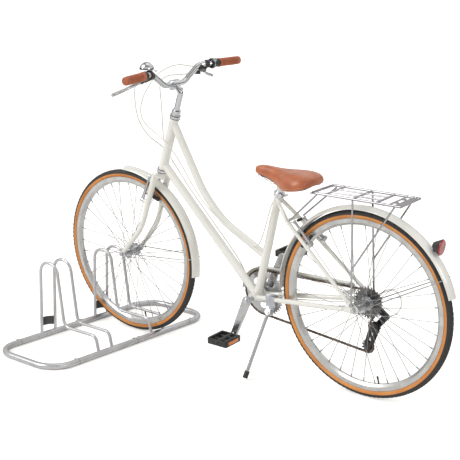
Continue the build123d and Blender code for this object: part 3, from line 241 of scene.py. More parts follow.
@dataclass(frozen=True)
class Finish:
    """One procedural finish, with colours in linear light and sizes in metres."""

    name: str
    slot: str
    colour: Triple
    second: Triple
    roughness: float
    spread: float = 0.06
    metallic: float = 0.0
    coat: float = 0.0
    surface: Surface = Surface.GRAIN
    scale: float = 500.0
    cells: float = 0.4
    depth: float = 0.00005
    patch: float = 9.0
    dust: float = 0.08
    stretch: Triple = (15.0, 900.0, 900.0)
    sheen: float = 0.0

    def build(self, effects: Effects) -> bpy.types.Material:
        """Make the material.

        Args:
            effects: the shared shader node groups.

        Returns:
            The new material.
        """
        material = bpy.data.materials.new(self.name)
        material.use_nodes = True
        graph = Graph(material.node_tree)
        shader = material.node_tree.nodes["Principled BSDF"].inputs
        where = graph.add("ShaderNodeTexCoord").outputs["Object"]
        self.connect(graph, shader, where, effects)
        graph.fill(shader, Metallic=self.metallic, Coat_Weight=self.coat, Coat_Roughness=0.06,
                   Sheen_Weight=self.sheen)
        return material

    def base_colour(self, graph: Graph, where: Socket, effects: Effects) -> tuple[Socket, Socket]:
        """Return the colour socket and the mask of its slow change."""
        tone = graph.use(effects.tone, Vector=where, Scale=self.patch, First=(*self.colour, 1.0),
                         Second=(*self.second, 1.0))
        return tone["Color"], tone["Mask"]

    def connect(self, graph: Graph, shader: Sockets, where: Socket, effects: Effects) -> None:
        """Join colour, roughness and relief to the shader's inputs."""
        colour, patch = self.base_colour(graph, where, effects)
        dusty = graph.use(effects.dust, Vector=where, Color=colour, Amount=self.dust)
        if self.surface is Surface.DRAWN:
            relief = graph.use(effects.brush, Vector=where, Stretch=self.stretch)
            fine = relief["Mask"]
        else:
            relief = graph.use(effects.grain, Vector=where, Scale=self.scale, Cells=self.cells)
            fine = relief["Height"]
        mixed = graph.math("MULTIPLY_ADD", patch, 0.5, graph.math("MULTIPLY", fine, 0.5))
        rough = graph.ramp(mixed, 0.0, 1.0, max(self.roughness - self.spread, 0.02),
                           self.roughness + self.spread)
        rough = graph.math("ADD", rough, graph.math("MULTIPLY", dusty["Mask"], 0.4))
        bump = graph.add("ShaderNodeBump", Strength=0.6, Distance=self.depth,
                         Height=relief["Height"])
        graph.fill(shader, Base_Color=dusty["Color"], Roughness=rough,
                   Normal=bump.outputs["Normal"])


MIRROR = {"metallic": 1.0, "surface": Surface.DRAWN, "depth": 0.00001, "dust": 0.03}
DRAWN_METAL = {"metallic": 1.0, "surface": Surface.DRAWN, "depth": 0.00003}

CREAM = Finish("cream_enamel", "cream_paint", (0.82, 0.815, 0.765), (0.785, 0.777, 0.72), 0.22,
               0.04, coat=0.7, scale=900, cells=0.1, depth=0.00003, patch=4.0, dust=0.05)
CHROME = Finish("polished_chrome", "chrome", (0.70, 0.70, 0.72), (0.58, 0.59, 0.61), 0.07, 0.05,
                **MIRROR)
ALLOY = Finish("brushed_alloy", "alloy", (0.60, 0.60, 0.615), (0.48, 0.485, 0.50), 0.26, 0.09,
               dust=0.05, **DRAWN_METAL)
WIRE = Finish("bright_wire", "spoke_wire", (0.34, 0.345, 0.36), (0.24, 0.245, 0.26), 0.26, 0.08,
              **MIRROR)
CARRIER = Finish("carrier_chrome", "chrome", (0.46, 0.455, 0.475), (0.36, 0.355, 0.375), 0.16,
                 0.06, **MIRROR)
RACK = Finish("satin_rack_steel", "rack_steel", (0.64, 0.64, 0.655), (0.54, 0.54, 0.555), 0.36,
              0.10, metallic=0.85, scale=260, cells=0.6, depth=0.00004, patch=14.0)
RIM = Finish("machined_rim", "alloy", (0.62, 0.62, 0.61), (0.52, 0.52, 0.515), 0.30, 0.08,
             metallic=0.8, scale=1200, cells=0.1, depth=0.00002, patch=20.0)
PLATE = Finish("dark_hoop_plate", "dark_plate", (0.10, 0.10, 0.105), (0.06, 0.06, 0.065), 0.38,
               0.08, metallic=0.6, scale=420, depth=0.00006)
ZINC = Finish("zinc_plated", "zinc_bolt", (0.60, 0.62, 0.65), (0.48, 0.50, 0.54), 0.30, 0.10,
              metallic=1.0, scale=300, cells=0.7, depth=0.00004, patch=40.0)
BLACK = Finish("moulded_black", "black_plastic", (0.018, 0.018, 0.019), (0.03, 0.03, 0.031), 0.42,
               0.08, scale=1400, cells=0.7, depth=0.00008, dust=0.06)
CHAIN = Finish("oiled_chain_steel", "chain_steel", (0.20, 0.155, 0.12), (0.11, 0.085, 0.07), 0.34,
               0.12, metallic=0.9, scale=700, depth=0.00004, patch=60.0, dust=0.1)
SPROCKET = Finish("sprocket_steel", "sprocket_steel", (0.24, 0.235, 0.23), (0.15, 0.145, 0.14),
                  0.34, 0.10, patch=30.0, **DRAWN_METAL)
HOUSING = Finish("white_housing", "cable_white", (0.80, 0.79, 0.75), (0.72, 0.71, 0.67), 0.34,
                 0.06, coat=0.2, scale=900, depth=0.00004)
LEATHER = Finish("tan_hide", "tan_leather", (0.52, 0.16, 0.062), (0.40, 0.105, 0.038), 0.36, 0.10,
                 scale=620, cells=0.85, depth=0.00022, patch=14.0, coat=0.12, sheen=0.1, dust=0.03)
STITCH = Finish("pale_thread", "tan_leather", (0.72, 0.50, 0.30), (0.60, 0.40, 0.22), 0.6,
                scale=2500, depth=0.0001)
GRIP = Finish("tan_grip_rubber", "grip_rubber", (0.50, 0.155, 0.075), (0.40, 0.115, 0.052), 0.46,
              0.08, scale=1100, cells=0.6, depth=0.0001, dust=0.05)
RED = Finish("red_anodised", "red_lens", (0.45, 0.01, 0.012), (0.36, 0.01, 0.01), 0.25, 0.05,
             metallic=0.5, coat=0.5)
RUBBER = Finish("black_rubber", "tyre_rubber", (0.022, 0.022, 0.022), (0.035, 0.034, 0.033), 0.62,
                0.08, scale=900, cells=0.5, depth=0.0001, dust=0.12)
WINDOW = Finish("smoky_window", "chrome", (0.55, 0.56, 0.58), (0.45, 0.46, 0.48), 0.12, 0.03,
                metallic=0.6, coat=0.8)


@dataclass(frozen=True)
class PrismLens(Finish):
    """Reflector lens: rows of small cube corners under a clear face."""

    pitch: float = 0.0042

    def connect(self, graph: Graph, shader: Sockets, where: Socket, effects: Effects) -> None:
        """Join the prism pattern to the shader's inputs."""
        cells = graph.add("ShaderNodeTexVoronoi", {"distance": "CHEBYCHEV"}, Vector=where,
                          Scale=1.0 / self.pitch, Randomness=0.0)
        shade = graph.ramp(cells.outputs["Distance"], 0.1, 0.55)
        bump = graph.add("ShaderNodeBump", Strength=0.5, Distance=self.depth, Height=shade)
        graph.fill(shader, Base_Color=graph.blend(shade, self.colour, self.second),
                   Roughness=graph.ramp(shade, 0.0, 1.0, 0.12, 0.25),
                   Normal=bump.outputs["Normal"])


RED_LENS = PrismLens("red_reflector", "red_lens", (0.46, 0.008, 0.010), (0.22, 0.003, 0.004), 0.15,
                     coat=0.9, depth=0.0004)
AMBER_LENS = PrismLens("amber_reflector", "black_plastic", (0.95, 0.30, 0.02), (0.60, 0.12, 0.01),
                       0.15, coat=0.9, depth=0.0004)


@dataclass(frozen=True)
class TyreWall(Finish):
    """Tyre finish: tan sidewalls between the bead and the black tread of one wheel."""

    hub: Triple = (0.0, 0.0, 0.0)
    lean: float = 0.0
    tan: Triple = (0.70, 0.29, 0.075)
    tan_dark: Triple = (0.56, 0.20, 0.045)
    tan_from: float = 0.3185
    tan_to: float = 0.3303

    def base_colour(self, graph: Graph, where: Socket, effects: Effects) -> tuple[Socket, Socket]:
        """Return tan or black by the distance from the axle, with a few moulded rings."""
        black, mask = Finish.base_colour(self, graph, where, effects)
        mapped = graph.add("ShaderNodeMapping", {"vector_type": "TEXTURE"}, Vector=where,
                           Location=self.hub, Rotation=(self.lean, 0.0, 0.0))
        split = graph.add("ShaderNodeSeparateXYZ", Vector=mapped.outputs["Vector"])
        flat = graph.add("ShaderNodeCombineXYZ", X=split.outputs["X"], Z=split.outputs["Z"])
        length = graph.add("ShaderNodeVectorMath", {"operation": "LENGTH"})
        graph.feed(length.inputs[0], flat.outputs["Vector"])
        radius = graph.math("MULTIPLY_ADD", graph.noise(where, 25.0, 4.0), 0.0006,
                            length.outputs["Value"])
        inside = graph.ramp(radius, self.tan_to, self.tan_to + 0.0006, 1.0, 0.0)
        outside = graph.ramp(radius, self.tan_from - 0.0004, self.tan_from)
        rings = graph.math("SINE", graph.math("MULTIPLY", radius, 5200.0))
        wall = graph.blend(graph.ramp(rings, 0.6, 1.0, 0.0, 0.25),
                           graph.blend(mask, self.tan, self.tan_dark), self.tan_dark)
        return graph.blend(graph.math("MULTIPLY", inside, outside), black, wall), mask


# ---- meshes
class Mesh:
    """Collects faces in one bmesh and turns them into a piece."""

    def __init__(self) -> None:
        """Start an empty mesh."""
        self.bm = bmesh.new()

    def lathe(self, profile: list[tuple[float, float]], origin: Vector, axis: Vector,
              turns: int = 40) -> "Mesh":
        """Turn a profile about an axis.

        Args:
            profile: (distance along the axis, radius) pairs; a radius of 0 closes an end.
            origin: where distance 0 lies.
            axis: direction of the axis.
            turns: number of steps round the axis.

        Returns:
            This mesh.
        """
        way = axis.normalized()
        side = way.orthogonal().normalized()
        up = way.cross(side)
        rings = []
        for along, radius in profile:
            middle = origin + way * along
            if radius <= 0.0:
                rings.append([self.bm.verts.new(middle)])
                continue
            rings.append([self.bm.verts.new(middle + (side * cos(tau * k / turns)
                                                      + up * sin(tau * k / turns)) * radius)
                          for k in range(turns)])
        for low, high in zip(rings, rings[1:]):
            for k in range(turns):
                after = (k + 1) % turns
                corners = [low[k % len(low)], low[after % len(low)],
                           high[after % len(high)], high[k % len(high)]]
                corners = list(dict.fromkeys(corners))
                if len(corners) > 2:
                    self.bm.faces.new(corners)
        return self

    def block(self, size: Triple, place: Matrix, bevel: float = 0.0) -> "Mesh":
        """Add a box with its edges rounded.

        Args:
            size: full lengths along the box's own axes.
            place: where the box's centre and axes lie.
            bevel: edge radius.

        Returns:
            This mesh.
        """
        box = bmesh.new()
        bmesh.ops.create_cube(box, size=1.0, matrix=Matrix.Diagonal((*size, 1.0)))
        if bevel:
            bmesh.ops.bevel(box, geom=box.edges[:], offset=bevel, segments=2, profile=0.6,
                            affect="EDGES")
        bmesh.ops.transform(box, matrix=place, verts=box.verts)
        self.take(box)
        return self

    def prism(self, outline: list[tuple[float, float]], low: float, high: float,
              place: Matrix) -> "Mesh":
        """Add a flat plate: an outline in local X-Y, thick from low to high along Z."""
        self.loft([[place @ Vector((x, y, z)) for x, y in outline] for z in (low, high)])
        return self

    def loft(self, rings: list[list[Vector]]) -> "Mesh":
        """Join closed rings of equal length by quads and cap both ends."""
        made = [[self.bm.verts.new(p) for p in ring] for ring in rings]
        for low, high in zip(made, made[1:]):
            for k in range(len(low)):
                after = (k + 1) % len(low)
                self.bm.faces.new((low[k], low[after], high[after], high[k]))
        self.bm.faces.new(list(reversed(made[0])))
        self.bm.faces.new(made[-1])
        return self

    def take(self, other: bmesh.types.BMesh) -> None:
        """Move another bmesh's faces into this one."""
        spare = bpy.data.meshes.new("spare")
        other.to_mesh(spare)
        other.free()
        self.bm.from_mesh(spare)
        bpy.data.meshes.remove(spare)

    def piece(self, name: str, smooth: float = 35.0) -> Piece:
        """Make the object, with outward faces and smooth shading under an angle in degrees."""
        bmesh.ops.recalc_face_normals(self.bm, faces=self.bm.faces[:])
        data = bpy.data.meshes.new(name)
        self.bm.to_mesh(data)
        self.bm.free()
        for polygon in data.polygons:
            polygon.use_smooth = True
        data.set_sharp_from_angle(angle=radians(smooth))
        made = bpy.data.objects.new(name, data)
        bpy.context.scene.collection.objects.link(made)
        return made


def settle(made: Piece, name: str) -> Piece:
    """Replace an object that has modifiers, or a curve, by a plain mesh object of that name."""
    graph = bpy.context.evaluated_depsgraph_get()
    data = bpy.data.meshes.new_from_object(made.evaluated_get(graph))
    bpy.data.objects.remove(made)
    data.name = name
    plain = bpy.data.objects.new(name, data)
    bpy.context.scene.collection.objects.link(plain)
    return plain


def subdivided(made: Piece, levels: int) -> Piece:
    """Return a plain mesh of the object after Catmull-Clark steps."""
    modifier = made.modifiers.new("smooth", "SUBSURF")
    modifier.levels = modifier.render_levels = levels
    return settle(made, made.name)


def path_object(points: list[Vector], closed: bool) -> Piece:
    """Return a poly curve object through the points."""
    data = bpy.data.curves.new("path", "CURVE")
    data.dimensions = "3D"
    spline = data.splines.new("POLY")
    spline.points.add(len(points) - 1)
    for slot, point in zip(spline.points, points):
        slot.co = (*point, 1.0)
    spline.use_cyclic_u = closed
    made = bpy.data.objects.new("path", data)
    bpy.context.scene.collection.objects.link(made)
    return made


class Repeater:
    """Geometry Nodes tree that sets copies of a unit along a path and finishes them."""

    SOCKETS = (("Geometry", "NodeSocketGeometry"), ("Unit", "NodeSocketObject"),
               ("Other Unit", "NodeSocketObject"), ("Count", "NodeSocketInt"),
               ("Side", "NodeSocketVector"), ("Finish", "NodeSocketMaterial"))

    def __init__(self) -> None:
        """Build the tree: resample, orient, alternate two units, realize and finish."""
        self.tree = bpy.data.node_groups.new("repeat_along_path", "GeometryNodeTree")
        new_socket = self.tree.interface.new_socket
        self.ids = {label: new_socket(name=label, in_out="INPUT", socket_type=kind).identifier
                    for label, kind in self.SOCKETS}
        new_socket(name="Geometry", in_out="OUTPUT", socket_type="NodeSocketGeometry")
        graph = Graph(self.tree)
        given, made = graph.add("NodeGroupInput").outputs, graph.add("NodeGroupOutput").inputs
        spaced = graph.add("GeometryNodeResampleCurve", Curve=given["Geometry"],
                           Count=given["Count"])
        points = graph.add("GeometryNodeCurveToPoints", {"mode": "EVALUATED"},
                           Curve=spaced.outputs["Curve"]).outputs
        turn = graph.add("FunctionNodeAxesToRotation",
                         {"primary_axis": "X", "secondary_axis": "Z"},
                         Primary_Axis=points["Tangent"], Secondary_Axis=given["Side"])
        odd = graph.math("MODULO", graph.add("GeometryNodeInputIndex").outputs["Index"], 2.0)
        joined = graph.add("GeometryNodeJoinGeometry")
        for label, chosen in (("Unit", graph.math("SUBTRACT", 1.0, odd)), ("Other Unit", odd)):
            unit = graph.add("GeometryNodeObjectInfo", {"transform_space": "ORIGINAL"},
                             Object=given[label])
            put = graph.add("GeometryNodeInstanceOnPoints", Points=points["Points"],
                            Instance=unit.outputs["Geometry"], Selection=chosen,
                            Rotation=turn.outputs["Rotation"])
            graph.feed(joined.inputs["Geometry"], put.outputs["Instances"])
        real = graph.add("GeometryNodeRealizeInstances", Geometry=joined.outputs["Geometry"])
        done = graph.add("GeometryNodeSetMaterial", Geometry=real.outputs["Geometry"],
                         Material=given["Finish"])
        graph.feed(made["Geometry"], done.outputs["Geometry"])

    def run(self, name: str, finish: bpy.types.Material, points: list[Vector], closed: bool,
            unit: Piece, count: int, side: Vector, other: Piece | None = None) -> Piece:
        """Set copies of a unit along a path.

        Args:
            name: the new piece's name.
            finish: its material.
            points: the path.
            closed: whether the path is a loop.
            unit: the object to copy; its X axis follows the path and its Z axis faces side.
            count: how many copies.
            side: direction that the copies face.
            other: unit for every second place, if not the same.

        Returns:
            The finished mesh object.
        """
        path = path_object(points, closed)
        modifier = path.modifiers.new("repeat", "NODES")
        modifier.node_group = self.tree
        for label, value in (("Unit", unit), ("Other Unit", other or unit), ("Count", count),
                             ("Side", tuple(side)), ("Finish", finish)):
            modifier[self.ids[label]] = value
        made = settle(path, name)
        for spare in {unit, other or unit}:
            bpy.data.objects.remove(spare)
        return made


# ---- the frame and the pieces added to it
class Rig:
    """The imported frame: nodes, joints and the bicycle's own leaning axes."""

    def __init__(self, frame: dict) -> None:
        """Read the joints and find the lean from the front wheel's axle."""
        self.nodes = frame["nodes"]
        self.joints = {joint["name"]: joint for joint in frame["joints"]}
        self.across = -Vector(self.joints["front_wheel_spin"]["axis"]).normalized()
        self.up = Vector((1.0, 0.0, 0.0)).cross(self.across)
        self.lean = atan2(self.across.z, self.across.y)
        self.turn = Matrix.Rotation(self.lean, 4, "X")

    def spot(self, joint: str, x: float = 0.0, y: float = 0.0, z: float = 0.0) -> Vector:
        """Return a point beside a joint, by offsets along the bicycle's own axes."""
        return Vector(self.joints[joint]["pos_m"]) + self.way(x, y, z)

    def way(self, x: float, y: float, z: float) -> Vector:
        """Return a vector given along the bicycle's own axes."""
        return self.turn.to_3x3() @ Vector((x, y, z))

    def axis(self, joint: str) -> Vector:
        """Return a joint's axis."""
        return Vector(self.joints[joint]["axis"]).normalized()

    def place(self, joint: str, x: float = 0.0, y: float = 0.0, z: float = 0.0) -> Matrix:
        """Return the matrix of the bicycle's own axes at a point beside a joint."""
        return Matrix.Translation(self.spot(joint, x, y, z)) @ self.turn


def axes_at(origin: Vector, along: Vector, facing: Vector) -> Matrix:
    """Return a matrix whose X axis is along and whose Z axis is nearest to facing."""
    x = along.normalized()
    z = (facing - x * facing.dot(x)).normalized()
    y = z.cross(x)
    turn = Matrix((x, y, z)).transposed().to_4x4()
    return Matrix.Translation(origin) @ turn


class Shop:
    """Builds the finishes, and hands pieces over to the frame."""

    def __init__(self, rig: Rig) -> None:
        """Prepare the shared effects and the repeating tree."""
        self.rig = rig
        self.effects = Effects()
        self.repeater = Repeater()
        self.made: dict[str, bpy.types.Material] = {}

    def material(self, finish: Finish) -> bpy.types.Material:
        """Return a finish's material, built once."""
        if finish.name not in self.made:
            self.made[finish.name] = finish.build(self.effects)
        return self.made[finish.name]

    def dress(self, finish: Finish, *names: str) -> None:
        """Give frame nodes a finish."""
        for name in names:
            data = self.rig.nodes[name].data
            data.materials.clear()
            data.materials.append(self.material(finish))

    def deliver(self, piece: Piece, body: str, finish: Finish,
                *stands_for: str) -> Piece:
        """Finish a piece, let it ride on a body and hide what it stands for.

        Args:
            piece: the mesh object.
            body: the body that it moves with.
            finish: its finish.
            stands_for: frame nodes that it replaces.

        Returns:
            The piece.
        """
        piece.data.materials.clear()
        piece.data.materials.append(self.material(finish))
        for polygon in piece.data.polygons:
            polygon.material_index = 0
        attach(piece, body)
        if stands_for:
            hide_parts(*stands_for)
        LOG.info("%s: %d faces on %s", piece.name, len(piece.data.polygons), body)
        return piece

    def turned(self, name: str, body: str, finish: Finish, profile: list[tuple[float, float]],
               origin: Vector, axis: Vector, turns: int, smooth: float = 35.0,
               stands_for: tuple[str, ...] = ()) -> None:
        """Deliver a piece turned about an axis, with the arguments of lathe and deliver."""
        piece = Mesh().lathe(profile, origin, axis, turns).piece(name, smooth)
        self.deliver(piece, body, finish, *stands_for)

    def repeat(self, name: str, body: str, finish: Finish, points: list[Vector], closed: bool,
               unit: Piece, count: int, side: Vector, other: Piece | None = None,
               stands_for: tuple[str, ...] = ()) -> None:
        """Deliver copies along a path, with the arguments of the repeater and deliver."""
        piece = self.repeater.run(name, self.material(finish), points, closed, unit, count, side,
                                  other)
        self.deliver(piece, body, finish, *stands_for)


# ---- wheels
@dataclass
class Wheel:
    """Tyre with tan walls and block tread, and the dressing of one wheel's metal."""

    end: str                       # "front" or "rear"
    ring: float = 0.3285           # middle of the tyre's section from the axle
    casing: float = 0.0163         # outer radius of the casing's section
    wall: float = 0.0026
    bead_angle: float = 2.32       # section angle where the casing meets the rim
    tread_top: float = 0.0174
    tread_foot: float = 0.0008     # how far a block reaches into the casing
    tread: tuple = ((0.13, 0.0, 0.0095, 0.0036), (0.42, 0.25, 0.0105, 0.0040),
                    (0.76, 0.0, 0.0080, 0.0044))   # section angle, shift, length, width
    blocks: int = 116
    valve_angle: float = -1.35
    valve_base: float = 0.2926     # from the axle

    def build(self, shop: Shop) -> None:
        """Make the tyre, its tread and its valve, and dress the rim, spokes and hub."""
        rig, body = shop.rig, f"{self.end}_wheel"
        hub = rig.spot(f"{self.end}_wheel_spin")
        finish = TyreWall(f"{self.end}_tyre_wall", "tyre_rubber", RUBBER.colour, RUBBER.second,
                          0.60, 0.08, scale=900, cells=0.5, depth=0.0001, dust=0.05,
                          hub=tuple(hub), lean=rig.lean)
        shop.deliver(self.casing_mesh(rig, hub), body, finish, f"{self.end}_tyre")
        for row in range(2 * len(self.tread)):
            angle, shift, length, width = self.tread[row // 2]
            if row % 2:
                angle, shift = -angle, shift + 0.5
            shop.repeat(f"{self.end}_tread_row_{row + 1}", body, RUBBER,
                        self.circle(rig, hub, angle, shift), True,
                        self.block_unit(angle, length, width), self.blocks, rig.across)
        inwards = -rig.way(cos(self.valve_angle), 0.0, sin(self.valve_angle))
        shop.turned(f"{self.end}_valve", body, BLACK,
                    [(0, 0), (0, 0.0034), (0.002, 0.0034), (0.0025, 0.0028), (0.017, 0.0028),
                     (0.018, 0.0036), (0.027, 0.0036), (0.028, 0.002), (0.028, 0)],
                    hub - inwards * self.valve_base, inwards, 14)
        for finish, part in ((ALLOY, "hub"), (RIM, "rim"), (WIRE, "spokes"), (ZINC, "axle")):
            shop.dress(finish, f"{self.end}_{part}")

    def circle(self, rig: Rig, hub: Vector, angle: float, shift: float) -> list[Vector]:
        """Return points round the wheel at one angle over the tyre's section."""
        radius = self.ring + self.casing * cos(angle)
        lateral = self.casing * sin(angle)
        turns = [shift * tau / self.blocks + tau * k / 180 for k in range(180)]
        return [hub + rig.way(radius * cos(a), lateral, radius * sin(a)) for a in turns]

    def block_unit(self, angle: float, length: float, width: float) -> Piece:
        """Return one tread block; its local Y axis points away from the axle."""
        height = self.tread_top - self.casing + self.tread_foot
        skew = Matrix.Rotation(0.35 if angle > 0 else -0.35, 4, "Y")
        tilt = Matrix.Rotation(angle, 4, "X")
        lift = Matrix.Translation((0.0, height / 2 - self.tread_foot, 0.0))
        return Mesh().block((length, height, width), tilt @ lift @ skew).piece("block")

    def casing_mesh(self, rig: Rig, hub: Vector) -> Piece:
        """Return the casing: a hollow tube open towards the rim, with moulded rings."""
        steps = 22
        outer, inner = [], []
        for k in range(steps + 1):
            angle = -self.bead_angle + 2 * self.bead_angle * k / steps
            rib = 0.0004 if 1.0 < abs(angle) < 1.25 else 0.0
            for radius, line in ((self.casing + rib, outer), (self.casing - self.wall, inner)):
                line.append((radius * sin(angle), self.ring + radius * cos(angle)))
        profile = outer + inner[::-1] + outer[:1]
        shape = Mesh().lathe(profile, hub, rig.across, 200)
        bmesh.ops.remove_doubles(shape.bm, verts=shape.bm.verts[:], dist=1e-6)
        return shape.piece(f"{self.end}_tyre_casing", 60.0)


# ---- chain and cranks
@dataclass
class Drive:
    """Roller chain, cranks, sprockets and derailleur."""

    pitch: float = 0.0127
    ring_teeth: int = 44
    sprocket_teeth: int = 20
    pulley_teeth: int = 11
    chain_line: float = 0.0435
    plate_end: float = 0.0040
    plate_waist: float = 0.0029
    crank_face: float = 0.0756
    pulley_face: float = 0.0531

    def build(self, shop: Shop) -> None:
        """Make the chain and the crank hardware, and dress the rest."""
        rig = shop.rig
        points = self.loop(rig)
        length = sum((b - a).length for a, b in zip(points, points[1:] + points[:1]))
        links = 2 * round(length / self.pitch / 2)
        outer = self.link("outer_link", 0.0025, 0.0034, 0.0017, 0.0038, 8)
        inner = self.link("inner_link", 0.0014, 0.0024, 0.0038, 0.0014, 10)
        shop.repeat("chain_links", "frame", CHAIN, points, True, outer, links, rig.across, inner,
                    stands_for=("chain",))
        shop.dress(ALLOY, "crank_arms", "chainring")
        shop.dress(ZINC, "crank_axle")
        shop.dress(SPROCKET, "sprockets")
        shop.dress(BLACK, "derailleur", "guide_pulley", "tension_pulley")
        shop.deliver(self.crank_caps(rig), "crankset", ZINC)
        shop.turned("lower_pulley_cap", "tension_wheel", RED,
                    [(0, 0), (0, 0.0075), (0.0012, 0.0072), (0.0016, 0.0055), (0.0012, 0)],
                    rig.spot("tension_wheel_spin", y=self.pulley_face), rig.across, 28)
        shop.deliver(self.derailleur_bolts(rig), "frame", ZINC)

    def radius(self, teeth: int) -> float:
        """Return a chain wheel's pitch radius."""
        return self.pitch / (2 * sin(pi / teeth))

    def loop(self, rig: Rig) -> list[Vector]:
        """Return the chain's pitch line round its four wheels."""
        origin = rig.spot("crank_spin")

        def flat(joint: str) -> tuple[float, float]:
            """Return a joint's place in the chain's plane, from the crank axle."""
            gap = rig.spot(joint) - origin
            return gap.x, gap.dot(rig.up)

        wheels = ((flat("crank_spin"), self.radius(self.ring_teeth), 1),
                  (flat("tension_wheel_spin"), self.radius(self.pulley_teeth), 1),
                  (flat("guide_wheel_spin"), self.radius(self.pulley_teeth), -1),
                  (flat("rear_wheel_spin"), self.radius(self.sprocket_teeth), 1))
        runs = []
        for (c1, r1, s1), (c2, r2, s2) in zip(wheels, wheels[1:] + wheels[:1]):
            gap = Vector(c2) - Vector(c1)
            turn = atan2(gap.y, gap.x) + asin((s1 * r1 - s2 * r2) / gap.length)
            normal = Vector((sin(turn), -cos(turn)))
            runs.append((Vector(c1) + normal * s1 * r1, Vector(c2) + normal * s2 * r2))
        line: list[Vector] = []
        for index, (centre, radius, sense) in enumerate(wheels):
            arrive, leave = runs[index - 1][1] - Vector(centre), runs[index][0] - Vector(centre)
            first, last = atan2(arrive.y, arrive.x), atan2(leave.y, leave.x)
            while sense * (last - first) < 0:
                last += sense * tau
            steps = max(4, int(abs(last - first) / 0.12))
            for k in range(steps + 1):
                angle = first + (last - first) * k / steps
                line.append(Vector(centre) + Vector((cos(angle), sin(angle))) * radius)
        return [origin + rig.way(p.x, self.chain_line, p.y) for p in line]

    def link(self, name: str, low: float, high: float, radius: float, reach: float,
             turns: int) -> Piece:
        """Return one chain link.

        Args:
            name: the link's name.
            low: inner face of its plates from the chain's middle.
            high: their outer face.
            radius: radius of its two pins or rollers.
            reach: half their length.
            turns: number of steps round them.

        Returns:
            The link, with its plates and its pins or rollers.
        """
        shape, half = Mesh(), self.pitch / 2
        right = [(half + self.plate_end * cos(a), self.plate_end * sin(a))
                 for a in (-1.9, -1.15, -0.4, 0.4, 1.15, 1.9)]
        outline = [*right, (0.0, self.plate_waist), *((-x, -y) for x, y in right),
                   (0.0, -self.plate_waist)]
        for near, far in ((-high, -low), (low, high)):
            shape.prism(outline, near, far, Matrix.Identity(4))
        for x in (-half, half):
            shape.lathe([(0, 0), (0, radius), (2 * reach, radius), (2 * reach, 0)],
                        Vector((x, 0, -reach)), Vector((0, 0, 1)), turns)
        return shape.piece(name, 30)

    def crank_caps(self, rig: Rig) -> Piece:
        """Return the dust caps over the crank bolts."""
        shape = Mesh()
        for side in (-1, 1):
            shape.lathe([(0, 0), (0, 0.0115), (0.0022, 0.0112), (0.0032, 0.0098), (0.0026, 0.007),
                         (0.0026, 0)], rig.spot("crank_spin", y=side * self.crank_face),
                        rig.across * side, 28)
        return shape.piece("crank_dust_caps")

    @staticmethod
    def derailleur_bolts(rig: Rig) -> Piece:
        """Return the hexagon heads on the derailleur's mounting and cage pivots."""
        shape = Mesh()
        for joint, x, y, z, radius in (("rear_wheel_spin", 0.012, 0.0801, -0.027, 0.0062),
                                       ("guide_wheel_spin", 0.0, 0.0732, 0.0, 0.0050),
                                       ("guide_wheel_spin", 0.030, 0.0782, 0.036, 0.0048)):
            shape.lathe([(0, 0), (0, radius), (0.003, radius), (0.0036, radius * 0.8),
                         (0.0036, radius * 0.5), (0.0020, radius * 0.48), (0.0020, 0)],
                        rig.spot(joint, x, y, z), rig.across, 6 if radius > 0.005 else 20)
        return shape.piece("derailleur_bolts")


@dataclass
class Pedal:
    """Black platform pedal with serrated edges and amber reflectors."""

    side: int
    name: str
    inner: float = 0.082
    outer: float = 0.176
    length: float = 0.090
    height: float = 0.024
    edge: float = 0.039            # middle of the front and rear bars from the spindle
    lens: float = 0.0452           # the reflectors from the spindle
    teeth: int = 9

    def build(self, shop: Shop) -> None:
        """Make the pedal's body, teeth and reflectors."""
        rig, joint, body = shop.rig, f"{self.name}_pedal_spin", f"{self.name}_pedal"
        middle = self.side * (self.inner + self.outer) / 2
        shape = Mesh()
        shape.lathe([(0, 0.0056), (0, 0.0095), (0.010, 0.0105), (0.094, 0.0090), (0.097, 0.006),
                     (0.097, 0)], rig.spot(joint, y=self.side * self.inner),
                    rig.across * self.side, 24)
        for x in (-self.edge, self.edge):
            shape.block((0.011, self.outer - self.inner - 0.006, self.height),
                        rig.place(joint, x, middle), 0.002)
        rails = ((0.004, (self.length - 0.004, 0.007, self.height - 0.001), 0.0025),
                 (0.030, (0.076, 0.007, 0.014), 0.0015))
        for inset, size, bevel in rails:
            for y in (self.inner + inset, self.outer - inset):
                shape.block(size, rig.place(joint, 0.0, self.side * y), bevel)
        shop.deliver(shape.piece(f"{self.name}_pedal_body"), body, BLACK, f"pedal_{self.name}")
        for end, x in (("f", -1), ("r", 1)):
            for level, z in (("d", -1), ("u", 1)):
                ends = [rig.spot(joint, x * self.edge, self.side * y, z * self.height / 2)
                        for y in (self.inner + 0.012, self.outer - 0.012)]
                tooth = Mesh().prism([(-0.0035, -0.001), (0.0035, -0.001), (0.0015, 0.0018),
                                      (-0.0015, 0.0018)], -0.004, 0.004, Matrix.Identity(4))
                facing = rig.way(-1 if z * self.side > 0 else 1, 0, 0)
                shop.repeat(f"{self.name}_pedal_teeth_{end}{level}", body, BLACK, ends, False,
                            tooth.piece("tooth"), self.teeth, facing)
            lens = Mesh().block((0.0022, 0.058, 0.0125), rig.place(joint, x * self.lens, middle),
                                0.0008)
            shop.deliver(lens.piece(f"{self.name}_pedal_reflector_{end}"), body, AMBER_LENS)


